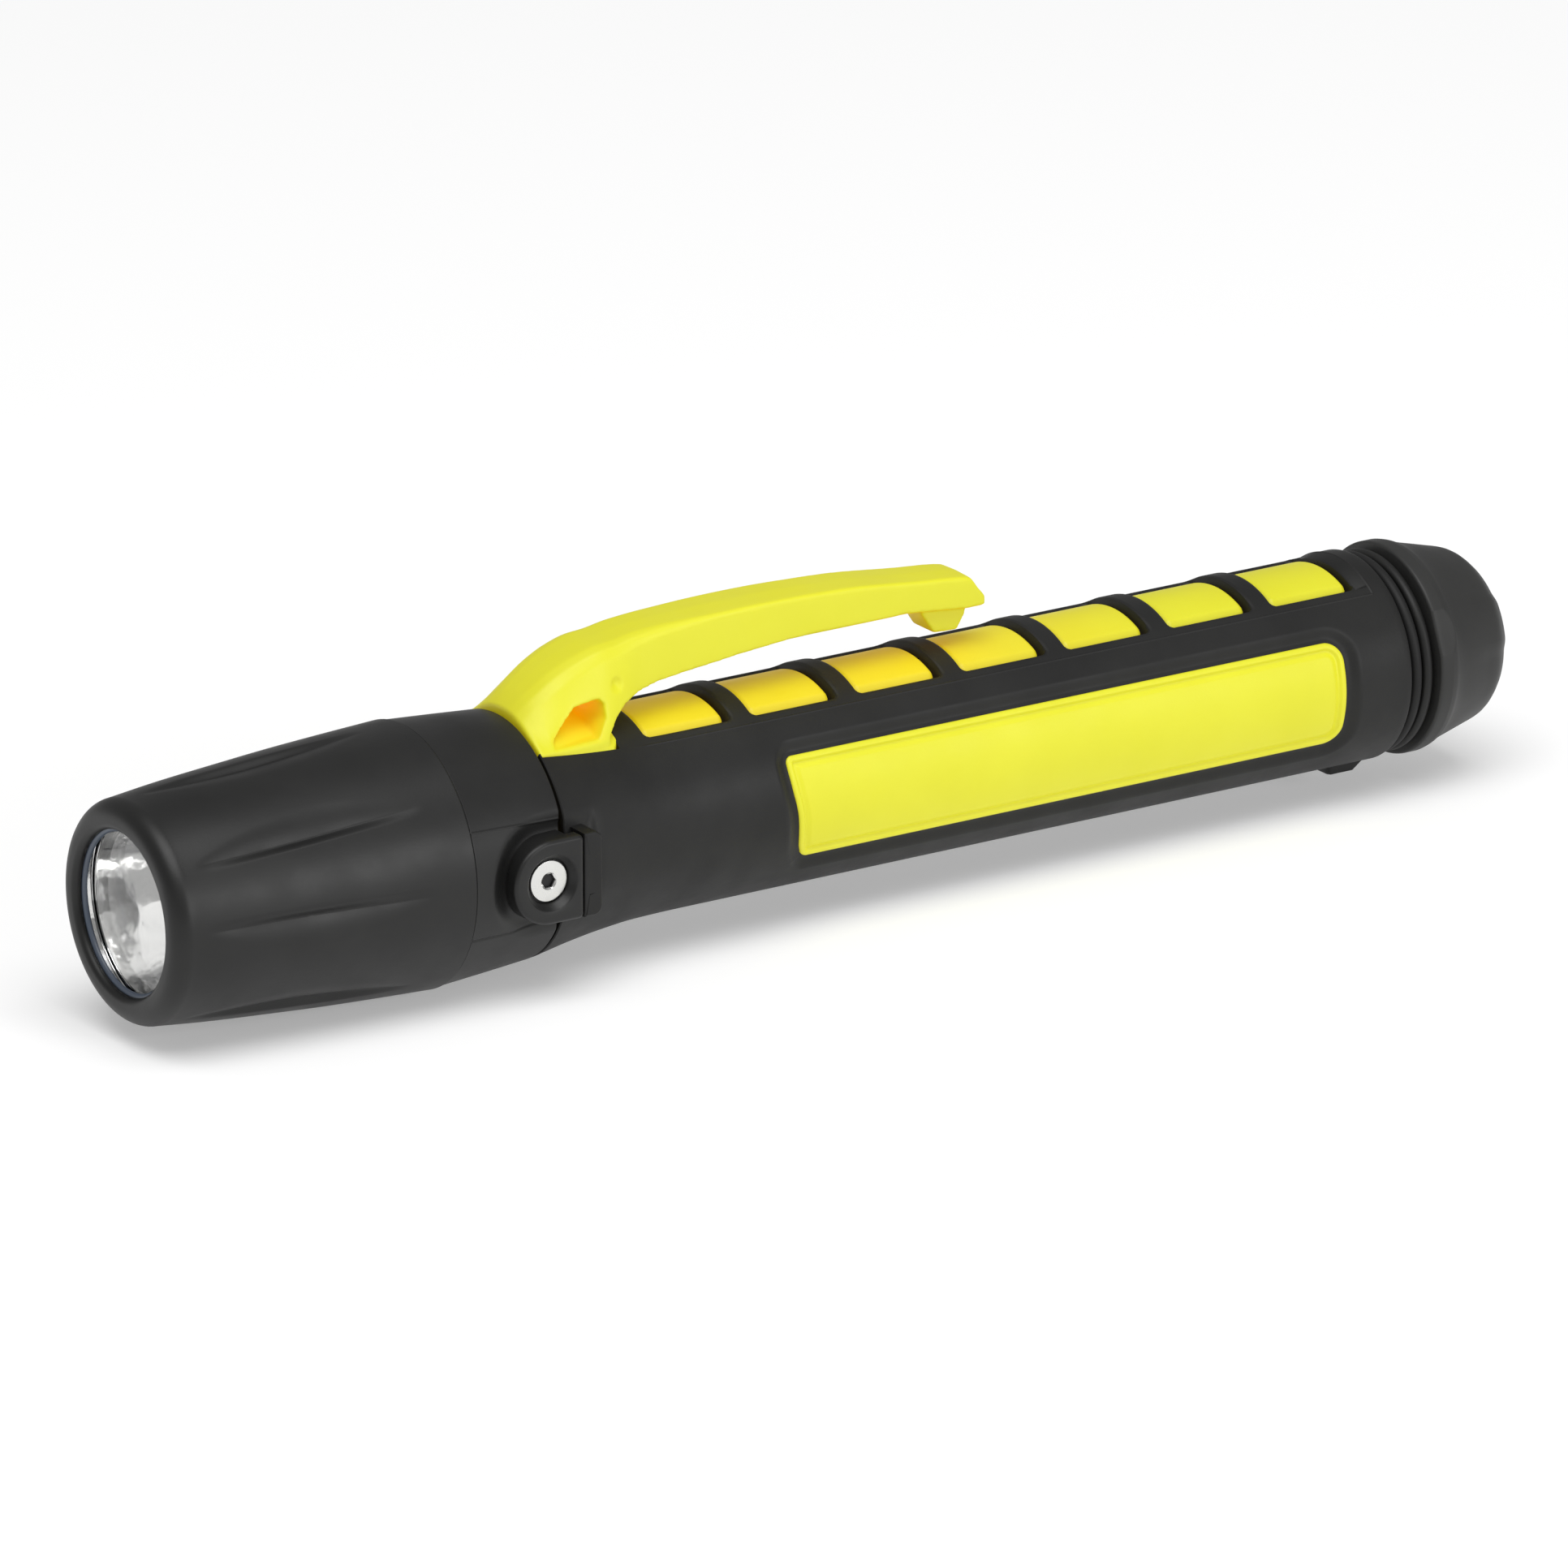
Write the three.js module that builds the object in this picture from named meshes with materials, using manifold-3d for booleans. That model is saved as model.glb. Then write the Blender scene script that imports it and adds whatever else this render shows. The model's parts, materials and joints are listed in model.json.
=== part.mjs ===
// A slim two-cell hand torch for firefighters: black moulded head and grip sleeve,
// luminous yellow clip, inserts and inner tube. Millimetres, +Z up, lying on a level surface.
// The torch's axis runs along X: the beam leaves at -X, the twist switch is at +X,
// the clip is on top, and the hexagon-socket lock screw faces -Y.
import * as THREE from 'three';
import { mergeVertices } from 'three/addons/utils/BufferGeometryUtils.js';
import Module from 'manifold-3d';

const wasm = await Module();
wasm.setup();

// ---- driving dimensions ----
const HEAD_R = 14.7;          // largest head radius, at the parting line
const GRIP_R = 11.8;          // grip sleeve radius
const FRONT = -87.15;         // front plane of the head's lip
const REAR = 87.15;           // flat rear face of the switch knob
const SEAM = -39.6;           // joint between head and grip
const PARTING = -51.6;        // mould parting line round the head
const GRIP_END = 72.0;        // rear end of the grip sleeve
const GAP = 0.3;              // working gap between touching pieces
const FOOT_REACH = 12.35;     // flat foot under the rear of the grip, from the torch's axis
const FOOT_X = 68.35;         // middle of that foot
const FOOT_LENGTH = 4.1;
const FOOT_WIDTH = 7;
const CELL_R = 7.25;          // AA cell
const CELL_LENGTH = 50.3;
const CELL_BORE = CELL_R + 0.35;
const CORE_R = 9.3;           // outer radius of the inner tube under the sleeve
const SLEEVE_BORE = CORE_R + GAP;
const NECK_R = 10.6;          // inner tube's neck, inside the head
const HEAD_BORE = NECK_R + 0.4;
const SCREW_X = -42.6;        // lock screw axis
const SCREW_Z = -0.5;
const BOSS_FACE = -15.4;      // outer face of the screw boss
const BOSS_HALF = 4.7;
const BOSS_REAR = -38.6;      // the boss reaches a little way over the grip
const BOSS_ROOT = HEAD_BORE + 0.8;
const HEAD_TURN = 75;         // degrees the head turns to come free of its stop
const HEAD_DRAW = 2.5;        // forward travel of the head over that turn
const PAD_COUNT = 7;          // windows along the top of the grip
const PAD_PITCH = 13.63;
const PAD_LENGTH = 9.6;
const FIRST_PAD = -19.7;      // centre of the pad under the clip
const PAD_HALF_ANGLE = 29.3;
const PAD_R = 11.15;
const PANEL_R = 11.4;
const CLIP_SPLIT = -25.4;     // section where the clip's arm starts to flex
const LENS_FROM = -84.9;      // front face of the lens
const LENS_R = 10.45;
const GASKET_FROM = -86.2;    // grey seal in front of the lens
const LIP_BORE = 9.1;         // opening in the head's lip
const LED_FACE = -65.0;       // front of the LED's board
const DRIVER_FACE = -60.2;    // front of the driver board
const SEAL_X = -49.5;         // O-ring between the neck and the head
const FLANGE_FROM = 73.9;     // ridged flange that closes the handle
const TAIL_SEAL_X = 73.05;    // O-ring in front of that flange
const KNOB_FROM = 75.7;       // front of the twist switch's knob
const KNOB_R = 12.0;
const FLAT_END = 77.6;        // rear edge of the knob's flats
const FLAT_REACH = 11.68;     // from the axis to those flats
const LOBE_COUNT = 2;         // flats on the knob's band, each with a raised lobe behind it
const LOBE_ANGLE = 66.8;      // degrees from the top of the knob to the first of them
const SPRING_FROM = 51.2;     // tail spring, between the rear cell and the plunger
const SPRING_TO = 55.9;
const FINE = 36;              // facets round the large turned pieces
const COARSE = 24;            // facets round the small ones
const SMALL = 16;             // facets round the smallest

// ---- materials ----
const finish = (color, roughness, metalness = 0) =>
  new THREE.MeshStandardMaterial({ color, roughness, metalness });
const shellBlack = finish(0x2b2b2a, 0.6);
const gripBlack = finish(0x2f2f2e, 0.7);
const luminous = finish(0xeeea3a, 0.5);
const rubberBlack = finish(0x1d1d1d, 0.75);
const sealGrey = finish(0x8fa3b5, 0.4);
const clear = finish(0xe8f0f4, 0.08);
const silvered = finish(0xe6e6e8, 0.12, 1);
const steel = finish(0xc9c9c6, 0.3, 1);
const brass = finish(0xc8a24a, 0.35, 1);
const aluminium = finish(0xb9bcc0, 0.4, 1);
const boardGreen = finish(0x1f6b3a, 0.5);
const boardWhite = finish(0xe9ebe8, 0.5);
const phosphor = finish(0xf2c83a, 0.3);
const cellWrap = finish(0x2a4f8a, 0.35, 0.3);

// ---- solids ----
function closedMesh(geometry) {
  const bare = new THREE.BufferGeometry();
  bare.setAttribute('position', geometry.getAttribute('position').clone());
  bare.setIndex(geometry.index ? geometry.index.clone() : null);
  const merged = mergeVertices(bare, 1e-4);
  const position = merged.getAttribute('position');
  const corners = [0, 1, 2].map(() => new THREE.Vector3());
  const triangles = [];
  let volume = 0;
  for (let i = 0; i < merged.index.count; i += 3) {
    const triangle = [0, 1, 2].map((k) => merged.index.getX(i + k));
    if (new Set(triangle).size < 3) continue;
    triangle.forEach((v, k) => corners[k].fromBufferAttribute(position, v));
    volume += corners[0].dot(corners[1].clone().cross(corners[2]));
    triangles.push(triangle);
  }
  const outward = triangles.map(([a, b, c]) => (volume < 0 ? [a, c, b] : [a, b, c]));
  return { vertProperties: new Float32Array(position.array), triVerts: new Uint32Array(outward.flat()) };
}

function solid(geometry) {
  return new wasm.Manifold(new wasm.Mesh({ numProp: 3, ...closedMesh(geometry) }));
}

function geometryOf(manifold) {
  const mesh = manifold.getMesh();
  const geometry = new THREE.BufferGeometry();
  geometry.setAttribute('position', new THREE.BufferAttribute(new Float32Array(mesh.vertProperties), 3));
  geometry.setIndex(new THREE.BufferAttribute(new Uint32Array(mesh.triVerts), 1));
  geometry.computeVertexNormals();
  return geometry;
}

const join = (first, ...rest) => rest.reduce((all, next) => all.add(next), first);
const cut = (first, ...rest) => rest.reduce((all, next) => all.subtract(next), first);
const common = (first, ...rest) => rest.reduce((all, next) => all.intersect(next), first);
const radians = (degrees) => (degrees * Math.PI) / 180;

// A turned piece about X from [x, radius] points; the outline closes on itself or on the axis.
function turned(profile, segments = FINE) {
  const points = profile.map(([x, r]) => new THREE.Vector2(r, x));
  if (profile[0][1] > 0) points.push(points[0].clone());
  return solid(new THREE.LatheGeometry(points, segments).rotateZ(-Math.PI / 2));
}

// The same about an axis parallel to Y at the lock screw, from [y, radius] points.
function turnedAtScrew(profile, segments = COARSE) {
  const points = profile.map(([y, r]) => new THREE.Vector2(r, y));
  if (profile[0][1] > 0) points.push(points[0].clone());
  return solid(new THREE.LatheGeometry(points, segments).translate(SCREW_X, 0, SCREW_Z));
}

const tube = (x0, x1, inner, outer, segments = FINE) =>
  turned([[x0, inner], [x0, outer], [x1, outer], [x1, inner]], segments);
const rod = (x0, x1, radius, segments = COARSE) =>
  turned([[x0, 0], [x0, radius], [x1, radius], [x1, 0]], segments);

// Points on an arc of the turned outline, angles in degrees from +X towards larger radius.
function arc(x, r, radius, from, to, steps) {
  return Array.from({ length: steps + 1 }, (_, i) => {
    const angle = radians(from + ((to - from) * i) / steps);
    return [x + radius * Math.cos(angle), r + radius * Math.sin(angle)];
  });
}

const ring = (x, r, section, segments = FINE) => turned(arc(x, r, section, 0, 315, 7), segments);

function prism(shape, depth, basis, offset) {
  const geometry = new THREE.ExtrudeGeometry(shape, { depth, bevelEnabled: false, curveSegments: 6 });
  geometry.applyMatrix4(new THREE.Matrix4().makeBasis(...basis));
  return solid(geometry.translate(...offset));
}

const outline = (points) => new THREE.Shape(points.map(([a, b]) => new THREE.Vector2(a, b)));
const X = new THREE.Vector3(1, 0, 0);
const Y = new THREE.Vector3(0, 1, 0);
const Z = new THREE.Vector3(0, 0, 1);
const prismX = (shape, x0, x1) => prism(shape, x1 - x0, [Y, Z, X], [x0, 0, 0]);
const prismY = (shape, y0, y1) => prism(shape, y1 - y0, [X, Z, Y.clone().negate()], [0, y1, 0]);
const prismZ = (shape, z0, z1) => prism(shape, z1 - z0, [X, Y, Z], [0, 0, z0]);

// A wedge about the axis, centred on straight up or turned about X from there.
function wedge(halfAngle, x0, x1, turn = 0) {
  const reach = 30;
  const corner = (angle) => [-reach * Math.sin(radians(angle)), reach * Math.cos(radians(angle))];
  return prismX(outline([[0, 0], corner(turn - halfAngle), corner(turn + halfAngle)]), x0, x1);
}

// ---- head ----
const headOutside = [
  ...arc(FRONT + 2.05, HEAD_R - 4.4, 2.05, 180, 90, 4),
  [-79, 13.0], [-72, 13.6], [-65, 14.1], [-58, 14.45],
  [PARTING, HEAD_R], [PARTING + 0.1, HEAD_R - 0.12], [-45, 14.1], [SEAM - 0.2, 13.7],
];

// One of the eight spindle-shaped grip hollows round the bezel.
function flute(index) {
  const spindle = new THREE.SphereGeometry(1, 10, 8);
  spindle.scale(13.5, 2.4, 2.6).rotateY(radians(3.2)).translate(-70.5, 0, 15.1);
  return solid(spindle.rotateX(radians(45 * index)));
}

// The D-shaped boss round the lock screw, flat where it meets the grip.
function screwBoss() {
  const shape = new THREE.Shape();
  shape.moveTo(BOSS_REAR, SCREW_Z - BOSS_HALF);
  shape.lineTo(BOSS_REAR, SCREW_Z + BOSS_HALF);
  shape.lineTo(SCREW_X, SCREW_Z + BOSS_HALF);
  shape.absarc(SCREW_X, SCREW_Z, BOSS_HALF, Math.PI / 2, 1.5 * Math.PI, false);
  shape.closePath();
  return cut(prismY(shape, BOSS_FACE, -BOSS_ROOT), rod(SEAM - 0.2, BOSS_REAR + 1, 13.95, FINE));
}

// The raised block on the grip that carries the boss's line on past the seam.
function bossBlock() {
  const front = BOSS_REAR + 0.25;
  const rear = -36.2;
  const low = SCREW_Z - BOSS_HALF;
  const high = SCREW_Z + BOSS_HALF;
  const corners = [
    [front, low], [rear - 0.8, low], [rear, low + 0.8], [rear, high - 0.8], [rear - 0.8, high], [front, high],
  ];
  return prismY(outline(corners), BOSS_FACE + 0.2, -BOSS_ROOT);
}

function headShell() {
  const inside = [
    [SEAM - 0.2, HEAD_BORE], [-48.4, HEAD_BORE], [-48.4, 12.5], [-50.6, 12.5], [-50.6, HEAD_BORE],
    [-57.5, HEAD_BORE], [-57.5, 10.8], [GASKET_FROM - 0.2, 10.8], [GASKET_FROM - 0.2, LIP_BORE],
    [FRONT + 0.3, LIP_BORE], [FRONT, 9.5],
  ];
  const shell = turned([...headOutside, ...inside]);
  const screwPath = turnedAtScrew([
    [BOSS_FACE - 1, 0], [BOSS_FACE - 1, 3.2], [BOSS_FACE, 3.2], [-14.7, 2.7], [-14.2, 2.65], [-13.0, 1.5],
    [-10, 1.5], [-10, 0],
  ]);
  const insertPocket = turnedAtScrew([[-12.3, 0], [-12.3, 2.9], [-9, 2.9], [-9, 0]]);
  const withBoss = join(shell, screwBoss());
  const flutes = Array.from({ length: 8 }, (_, i) => flute(i));
  return cut(withBoss, screwPath, insertPocket, ...flutes);
}

const reflectorBowl = (depth) => Math.sqrt(6.23 * depth);
function reflector() {
  const vertex = -66.5;
  const steps = [1.1, 2.2, 4, 6.5, 9.5, 12.6, 15.8];
  const inside = steps.map((depth) => [vertex - depth, reflectorBowl(depth)]);
  const outside = steps.map((depth) => [vertex - depth + 0.6, reflectorBowl(depth) + 0.8]).reverse();
  const rim = vertex - 15.8;
  return turned([...inside, [rim, 10.4], [rim + 0.9, 10.4], ...outside.slice(1)], COARSE);
}

function ledEmitter() {
  return turned([[-67.4, 0], [-67.0, 1.1], [-66.2, 1.7], [-65.9, 2.1], [-65.3, 2.1], [-65.3, 0]], SMALL);
}

function heatSink() {
  const body = turned([
    [-63.6, 1.6], [-63.6, 10.4], [-56.4, 10.4], [-56.4, 8.9], [-60.6, 8.9], [-60.6, 1.6],
  ], COARSE);
  const slots = Array.from({ length: 6 }, (_, i) => {
    const slot = new THREE.BoxGeometry(3.4, 1.6, 1.6).translate(-61.4, 0, 10.6);
    return solid(slot.rotateX(radians(60 * i)));
  });
  return cut(body, ...slots);
}

function frontContact() {
  return turned([[-58.7, 0], [-58.7, 2.4], [-56.4, 2.4], [-54.2, 1.6], [-51.4, 1.6], [-51.4, 0]], SMALL);
}

function lockScrew() {
  const body = turnedAtScrew([
    [-14.6, 0], [-14.6, 2.3], [-14.2, 2.3], [-13.2, 1.2], [-9.9, 1.2], [-9.5, 0.8], [-9.5, 0],
  ]);
  const socketRadius = 1.5 / Math.sqrt(3);
  const corners = Array.from({ length: 6 }, (_, i) => [
    SCREW_X + socketRadius * Math.cos(radians(60 * i)),
    SCREW_Z + socketRadius * Math.sin(radians(60 * i)),
  ]);
  return cut(body, prismY(outline(corners), -15, -13.7));
}

// ---- grip ----
const flare = [
  [SEAM + 0.2, 13.65], [-34.3, 12.75], [-29.8, 12.2], [-25.7, 11.9], [-20, GRIP_R],
];

function innerTube() {
  const body = turned([
    [-53, CELL_BORE], [-53, NECK_R], [SEAM - 0.1, NECK_R], [SEAM - 0.1, CORE_R],
    [GRIP_END - GAP, CORE_R], [GRIP_END - GAP, CELL_BORE],
  ]);
  const steps = 8;
  const track = Array.from({ length: steps + 1 }, (_, i) => {
    const slot = new THREE.CylinderGeometry(1.6, 1.6, 3.2, 12);
    slot.translate(SCREW_X - (HEAD_DRAW * i) / steps, -10.8, SCREW_Z);
    return solid(slot.rotateX(radians((HEAD_TURN * i) / steps)));
  });
  const stripGroove = new THREE.BoxGeometry(130, 3.2, 1.6).translate(10, 0, -9.1);
  return cut(body, ...track, solid(stripGroove));
}

const padCentre = (index) => FIRST_PAD + PAD_PITCH * index;
const STRIP_FROM = FIRST_PAD - 6.2;
const STRIP_TO = FIRST_PAD + PAD_PITCH * (PAD_COUNT - 1) + 6.2;

function padBlock(index, growX, growAngle, inner, outer) {
  const from = padCentre(index) - PAD_LENGTH / 2 - growX;
  const to = padCentre(index) + PAD_LENGTH / 2 + growX;
  return common(tube(from, to, inner, outer), wedge(PAD_HALF_ANGLE + growAngle, from, to));
}

function padStrip() {
  const base = common(tube(STRIP_FROM, STRIP_TO, SLEEVE_BORE, 10.15), wedge(31, STRIP_FROM, STRIP_TO));
  const pads = Array.from({ length: PAD_COUNT }, (_, i) => padBlock(i, 0, 0, SLEEVE_BORE, PAD_R));
  return join(base, ...pads);
}

// The side insert's outline, seen from the side: square-cornered curved front edge, round rear corners.
function panelShape(grow) {
  const top = 6.0 + grow;
  const bottom = -6.1 - grow;
  const rear = 63.4 + grow;
  const corner = 2.4 + grow;
  const shape = new THREE.Shape();
  shape.moveTo(-7.2 - grow, bottom);
  shape.bezierCurveTo(-8.6 - grow, bottom + 3, -8.8 - grow, -2, -9.6 - grow, 1);
  shape.bezierCurveTo(-10.2 - grow, 2.6, -10.4 - grow, top - 1.2, -8.8 - grow, top);
  shape.lineTo(rear - corner, top);
  shape.quadraticCurveTo(rear, top, rear, top - corner);
  shape.lineTo(rear, bottom + corner);
  shape.quadraticCurveTo(rear, bottom, rear - corner, bottom);
  shape.closePath();
  return shape;
}

const sidePrism = (grow, side) => {
  const near = side < 0 ? -20 : 6;
  return prismY(panelShape(grow), near, near + 14);
};
const sidePanel = (side) => common(tube(-12, 66, SLEEVE_BORE, PANEL_R), sidePrism(0, side));

function gripSleeve() {
  const footHeight = 1.5;
  const foot = new THREE.BoxGeometry(FOOT_LENGTH, FOOT_WIDTH, footHeight);
  foot.translate(FOOT_X, 0, -FOOT_REACH + footHeight / 2);
  const outside = turned([
    ...flare, [GRIP_END - 0.5, GRIP_R], [GRIP_END, GRIP_R - 0.5],
    [GRIP_END, SLEEVE_BORE], [SEAM + 0.2, SLEEVE_BORE],
  ]);
  const body = join(outside, solid(foot), bossBlock());
  const channel = common(tube(STRIP_FROM - GAP, STRIP_TO + GAP, CORE_R, 10.45),
    wedge(33, STRIP_FROM - GAP, STRIP_TO + GAP));
  const windows = Array.from({ length: PAD_COUNT }, (_, i) => padBlock(i, 0.65, 2.4, CORE_R, 20));
  const clipSeat = common(clipPlan(GAP, 5), cut(rod(-45, -20, 30), seatRod(-GAP)));
  return cut(body, channel, ...windows, sidePrism(GAP, -1), sidePrism(GAP, 1), clipSeat);
}

// ---- clip ----
// The surface the clip's saddle sits on, under the sleeve's flared outside.
function seatRod(grow) {
  const seat = flare.map(([x, r]) => [x, r - 1.3 + grow]);
  return turned([[-60, 0], [-60, seat[0][1]], ...seat, [40, GRIP_R - 1.3 + grow], [40, 0]]);
}

function clipPlan(grow, floor) {
  const side = 8.0 + grow;
  const rear = -29.1 + grow;
  const shape = outline([
    [SEAM + 0.2 - grow, -side], [rear - 1, -side], [rear, -side + 1], [rear, side - 1], [rear - 1, side],
    [SEAM + 0.2 - grow, side],
  ]);
  return prismZ(shape, floor, 26);
}

// Sections along the clip: x, top height, top half width, shoulder height, lower half width.
const clipSections = [
  [SEAM + 0.2, 14.4, 4.6, 11.0, 8.0], [-37.6, 16.0, 4.3, 10.9, 8.0], [-34.5, 18.1, 4.1, 10.8, 8.0],
  [-31.5, 19.4, 4.0, 10.7, 7.8], [-29.1, 20.1, 3.9, 10.9, 7.2], [-27, 20.4, 3.8, 11.8, 5.9],
  [-24, 20.85, 3.65, 13.2, 4.4], [-20, 21.1, 3.5, 14.5, 3.8], [-8, 21.3, 3.35, 16, 3.5],
  [2.5, 21.0, 3.2, 16, 3.35], [12.8, 20.0, 3.1, 16, 3.2], [18.9, 19.3, 3.0, 15, 3.1],
  [20.3, 17.8, 2.9, 14.5, 3.0], [21.1, 16.9, 2.8, 14, 2.9],
];

// A solid through a row of matching closed sections.
function lofted(sections) {
  const size = sections[0].length;
  const points = sections.flat();
  const faces = [];
  for (let s = 0; s < sections.length - 1; s += 1) {
    for (let k = 0; k < size; k += 1) {
      const a = s * size + k;
      const b = s * size + ((k + 1) % size);
      faces.push(a, b, b + size, a, b + size, a + size);
    }
  }
  const last = (sections.length - 1) * size;
  for (let k = 1; k < size - 1; k += 1) faces.push(0, k + 1, k, last, last + k, last + k + 1);
  const geometry = new THREE.BufferGeometry();
  geometry.setAttribute('position', new THREE.Float32BufferAttribute(points.flat(), 3));
  geometry.setIndex(faces);
  return solid(geometry);
}

const CLIP_FLOOR = 6;
function wholeClip() {
  const sections = clipSections.map(([x, top, topHalf, shoulder, lowHalf]) => [
    [x, -lowHalf, CLIP_FLOOR], [x, lowHalf, CLIP_FLOOR], [x, lowHalf, shoulder],
    [x, topHalf, top], [x, -topHalf, top], [x, -lowHalf, shoulder],
  ]);
  const beneath = prismY(outline([
    [-29.1, 4], [-29.1, 10.6], [-28.6, 11.4], [-27.6, 13.0], [-25.8, 14.2], [-22, 15.0], [-12, 15.95],
    [-5, 16.5], [10.8, 16.5], [19.0, 15.7], [23, 15.6], [23, 4],
  ]), -12, 12);
  const saddle = common(clipPlan(0, CLIP_FLOOR), turned([
    [-45, 0], [-45, 13.7], ...flare.map(([x, r]) => [x, r + 0.15]), [0, GRIP_R], [0, 0],
  ]));
  const tooth = prismY(outline([
    [12.6, 16.9], [13.4, 15.6], [14.9, 13.3], [17.9, 13.2], [18.9, 14.8], [19.4, 16.9],
  ]), -2.1, 2.1);
  const tunnel = prismY(outline([
    [-37.4, 11.3], [-36.9, 12.0], [-33.5, 14.7], [-30.4, 15.1], [-29.9, 14.5], [-30.0, 13.0], [-31.3, 11.3],
  ]), -12, 12);
  const body = cut(lofted(sections), beneath);
  const sleeveClearance = turned([
    [-29.1, 0], [-29.1, 12.5], [-25.7, 12.2], [-20, GRIP_R + GAP], [40, GRIP_R + GAP], [40, 0],
  ]);
  return cut(join(cut(body, sleeveClearance, tunnel), saddle, tooth), seatRod(0));
}

const slab = (from, to) => solid(new THREE.BoxGeometry(to - from, 60, 60).translate((from + to) / 2, 0, 0));

// ---- electrics ----
function cell(from) {
  return turned([
    [from, 0], [from, 2.7], [from + 1.2, 2.7], [from + 1.2, CELL_R - 0.6], [from + 1.5, CELL_R],
    [from + CELL_LENGTH - 0.4, CELL_R], [from + CELL_LENGTH, CELL_R - 0.4], [from + CELL_LENGTH, 0],
  ], COARSE);
}

const FRONT_CELL = -51.1;
const REAR_CELL = FRONT_CELL + CELL_LENGTH + GAP;

class Helix extends THREE.Curve {
  constructor(from, to, radius, turns) {
    super();
    Object.assign(this, { from, to, radius, turns });
  }

  getPoint(t) {
    const angle = 2 * Math.PI * this.turns * t;
    const x = this.from + (this.to - this.from) * t;
    return new THREE.Vector3(x, this.radius * Math.cos(angle), this.radius * Math.sin(angle));
  }
}

function coilSpring(from, to, radius, wire, turns) {
  const section = new THREE.Shape().absarc(0, 0, wire, 0, 2 * Math.PI, false);
  const path = new Helix(from + wire, to - wire, radius, turns);
  const options = { steps: turns * 14, bevelEnabled: false, curveSegments: 3, extrudePath: path };
  return solid(new THREE.ExtrudeGeometry(section, options));
}

// ---- switch end ----
function switchHousing() {
  return turned([
    [62, 3.6], [62, CELL_BORE - 0.35], [GRIP_END + 0.2, CELL_BORE - 0.35], [GRIP_END + 0.2, 9.8],
    [FLANGE_FROM, 9.8], [FLANGE_FROM, 11.1], [FLANGE_FROM + 0.3, 11.4], [FLANGE_FROM + 1.0, 11.4],
    [FLANGE_FROM + 1.3, 11.1], [FLANGE_FROM + 1.4, 7.6], [80, 7.6], [80, 3.6],
  ]);
}

function switchPlunger() {
  return turned([[56.2, 0], [56.2, 6.6], [57.4, 6.6], [57.4, 3.0], [59.9, 3.0], [59.9, 0]], COARSE);
}

const turnToLobe = (index) => LOBE_ANGLE + (360 * index) / LOBE_COUNT;
const knobCone = [
  [79.0, 11.85], [79.6, 11.55], [80.3, 11.2], [81.2, 10.93], [83.1, 10.4], [84.9, 9.85], [85.6, 9.4],
  [86.5, 8.5], [REAR, 7.4],
];

function knobLobe(index) {
  const start = knobCone[2][0];
  const raised = knobCone.slice(3).map(([x, r]) => [x, r + 0.07 * Math.min(x - start, 4)]);
  const shape = turned([[start, 7], knobCone[2], ...raised.slice(0, -1), [REAR, 7]]);
  return common(shape, wedge(17, start, REAR, turnToLobe(index)));
}

function knobFlat(index) {
  const size = 4;
  const beyond = new THREE.BoxGeometry(size, 10, size);
  beyond.translate(FLAT_END - size / 2, 0, FLAT_REACH + size / 2);
  return solid(beyond.rotateX(radians(turnToLobe(index))));
}

function switchKnob() {
  const body = turned([
    [KNOB_FROM, 8.0], [KNOB_FROM, KNOB_R - 0.4], [KNOB_FROM + 0.4, KNOB_R], [78.3, KNOB_R], ...knobCone,
    [REAR, 0], [60.2, 0], [60.2, 3.2], [60.5, 3.2], [60.5, 2.6], [61.7, 2.6], [61.7, 3.2],
    [80.6, 3.2], [80.6, 8.0],
  ]);
  const all = Array.from({ length: LOBE_COUNT }, (_, i) => i);
  return cut(join(body, ...all.map(knobLobe)), ...all.map(knobFlat));
}

// ---- assembly ----
const torch = new THREE.Group();
torch.name = 'torch';
torch.position.z = HEAD_R;

function add(name, manifold, material) {
  const mesh = new THREE.Mesh(geometryOf(manifold), material);
  mesh.name = name;
  torch.add(mesh);
}

const clip = wholeClip();
const insert = [[-12.0, 1.5], [-12.0, 2.6], [-11.2, 2.6], [-11.2, 1.5]];
const contactStrip = new THREE.BoxGeometry(119, 2.4, 0.4).translate(9.5, 0, -8.85);
add('head_shell', headShell(), shellBlack);
add('lens_gasket', tube(GASKET_FROM, GASKET_FROM + 0.9, 8.95, 10.4), sealGrey);
add('lens', rod(LENS_FROM, LENS_FROM + 2.2, LENS_R, FINE), clear);
add('reflector', reflector(), silvered);
add('led_emitter', ledEmitter(), phosphor);
add('led_board', rod(LED_FACE, LED_FACE + 1.1, 8.2), boardWhite);
add('heat_sink', heatSink(), aluminium);
add('driver_board', rod(DRIVER_FACE, DRIVER_FACE + 1.2, 8.4), boardGreen);
add('front_contact', frontContact(), brass);
add('module_retainer', tube(-56.1, -53.4, 8.6, HEAD_BORE - GAP), rubberBlack);
add('head_seal', ring(SEAL_X, 11.6, 0.6), rubberBlack);
add('lock_screw', lockScrew(), steel);
add('screw_insert', turnedAtScrew(insert, SMALL), brass);
add('inner_tube', innerTube(), luminous);
add('grip_sleeve', gripSleeve(), gripBlack);
add('pad_strip', padStrip(), luminous);
add('side_panel_left', sidePanel(-1), luminous);
add('side_panel_right', sidePanel(1), luminous);
add('clip_base', common(clip, slab(-60, CLIP_SPLIT)), luminous);
add('clip_arm', common(clip, slab(CLIP_SPLIT + GAP, 60)), luminous);
add('cell_front', cell(FRONT_CELL), cellWrap);
add('cell_rear', cell(REAR_CELL), cellWrap);
add('contact_strip', solid(contactStrip), brass);
add('tail_spring', coilSpring(SPRING_FROM, SPRING_TO, 4.6, 0.4, 4), steel);
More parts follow.
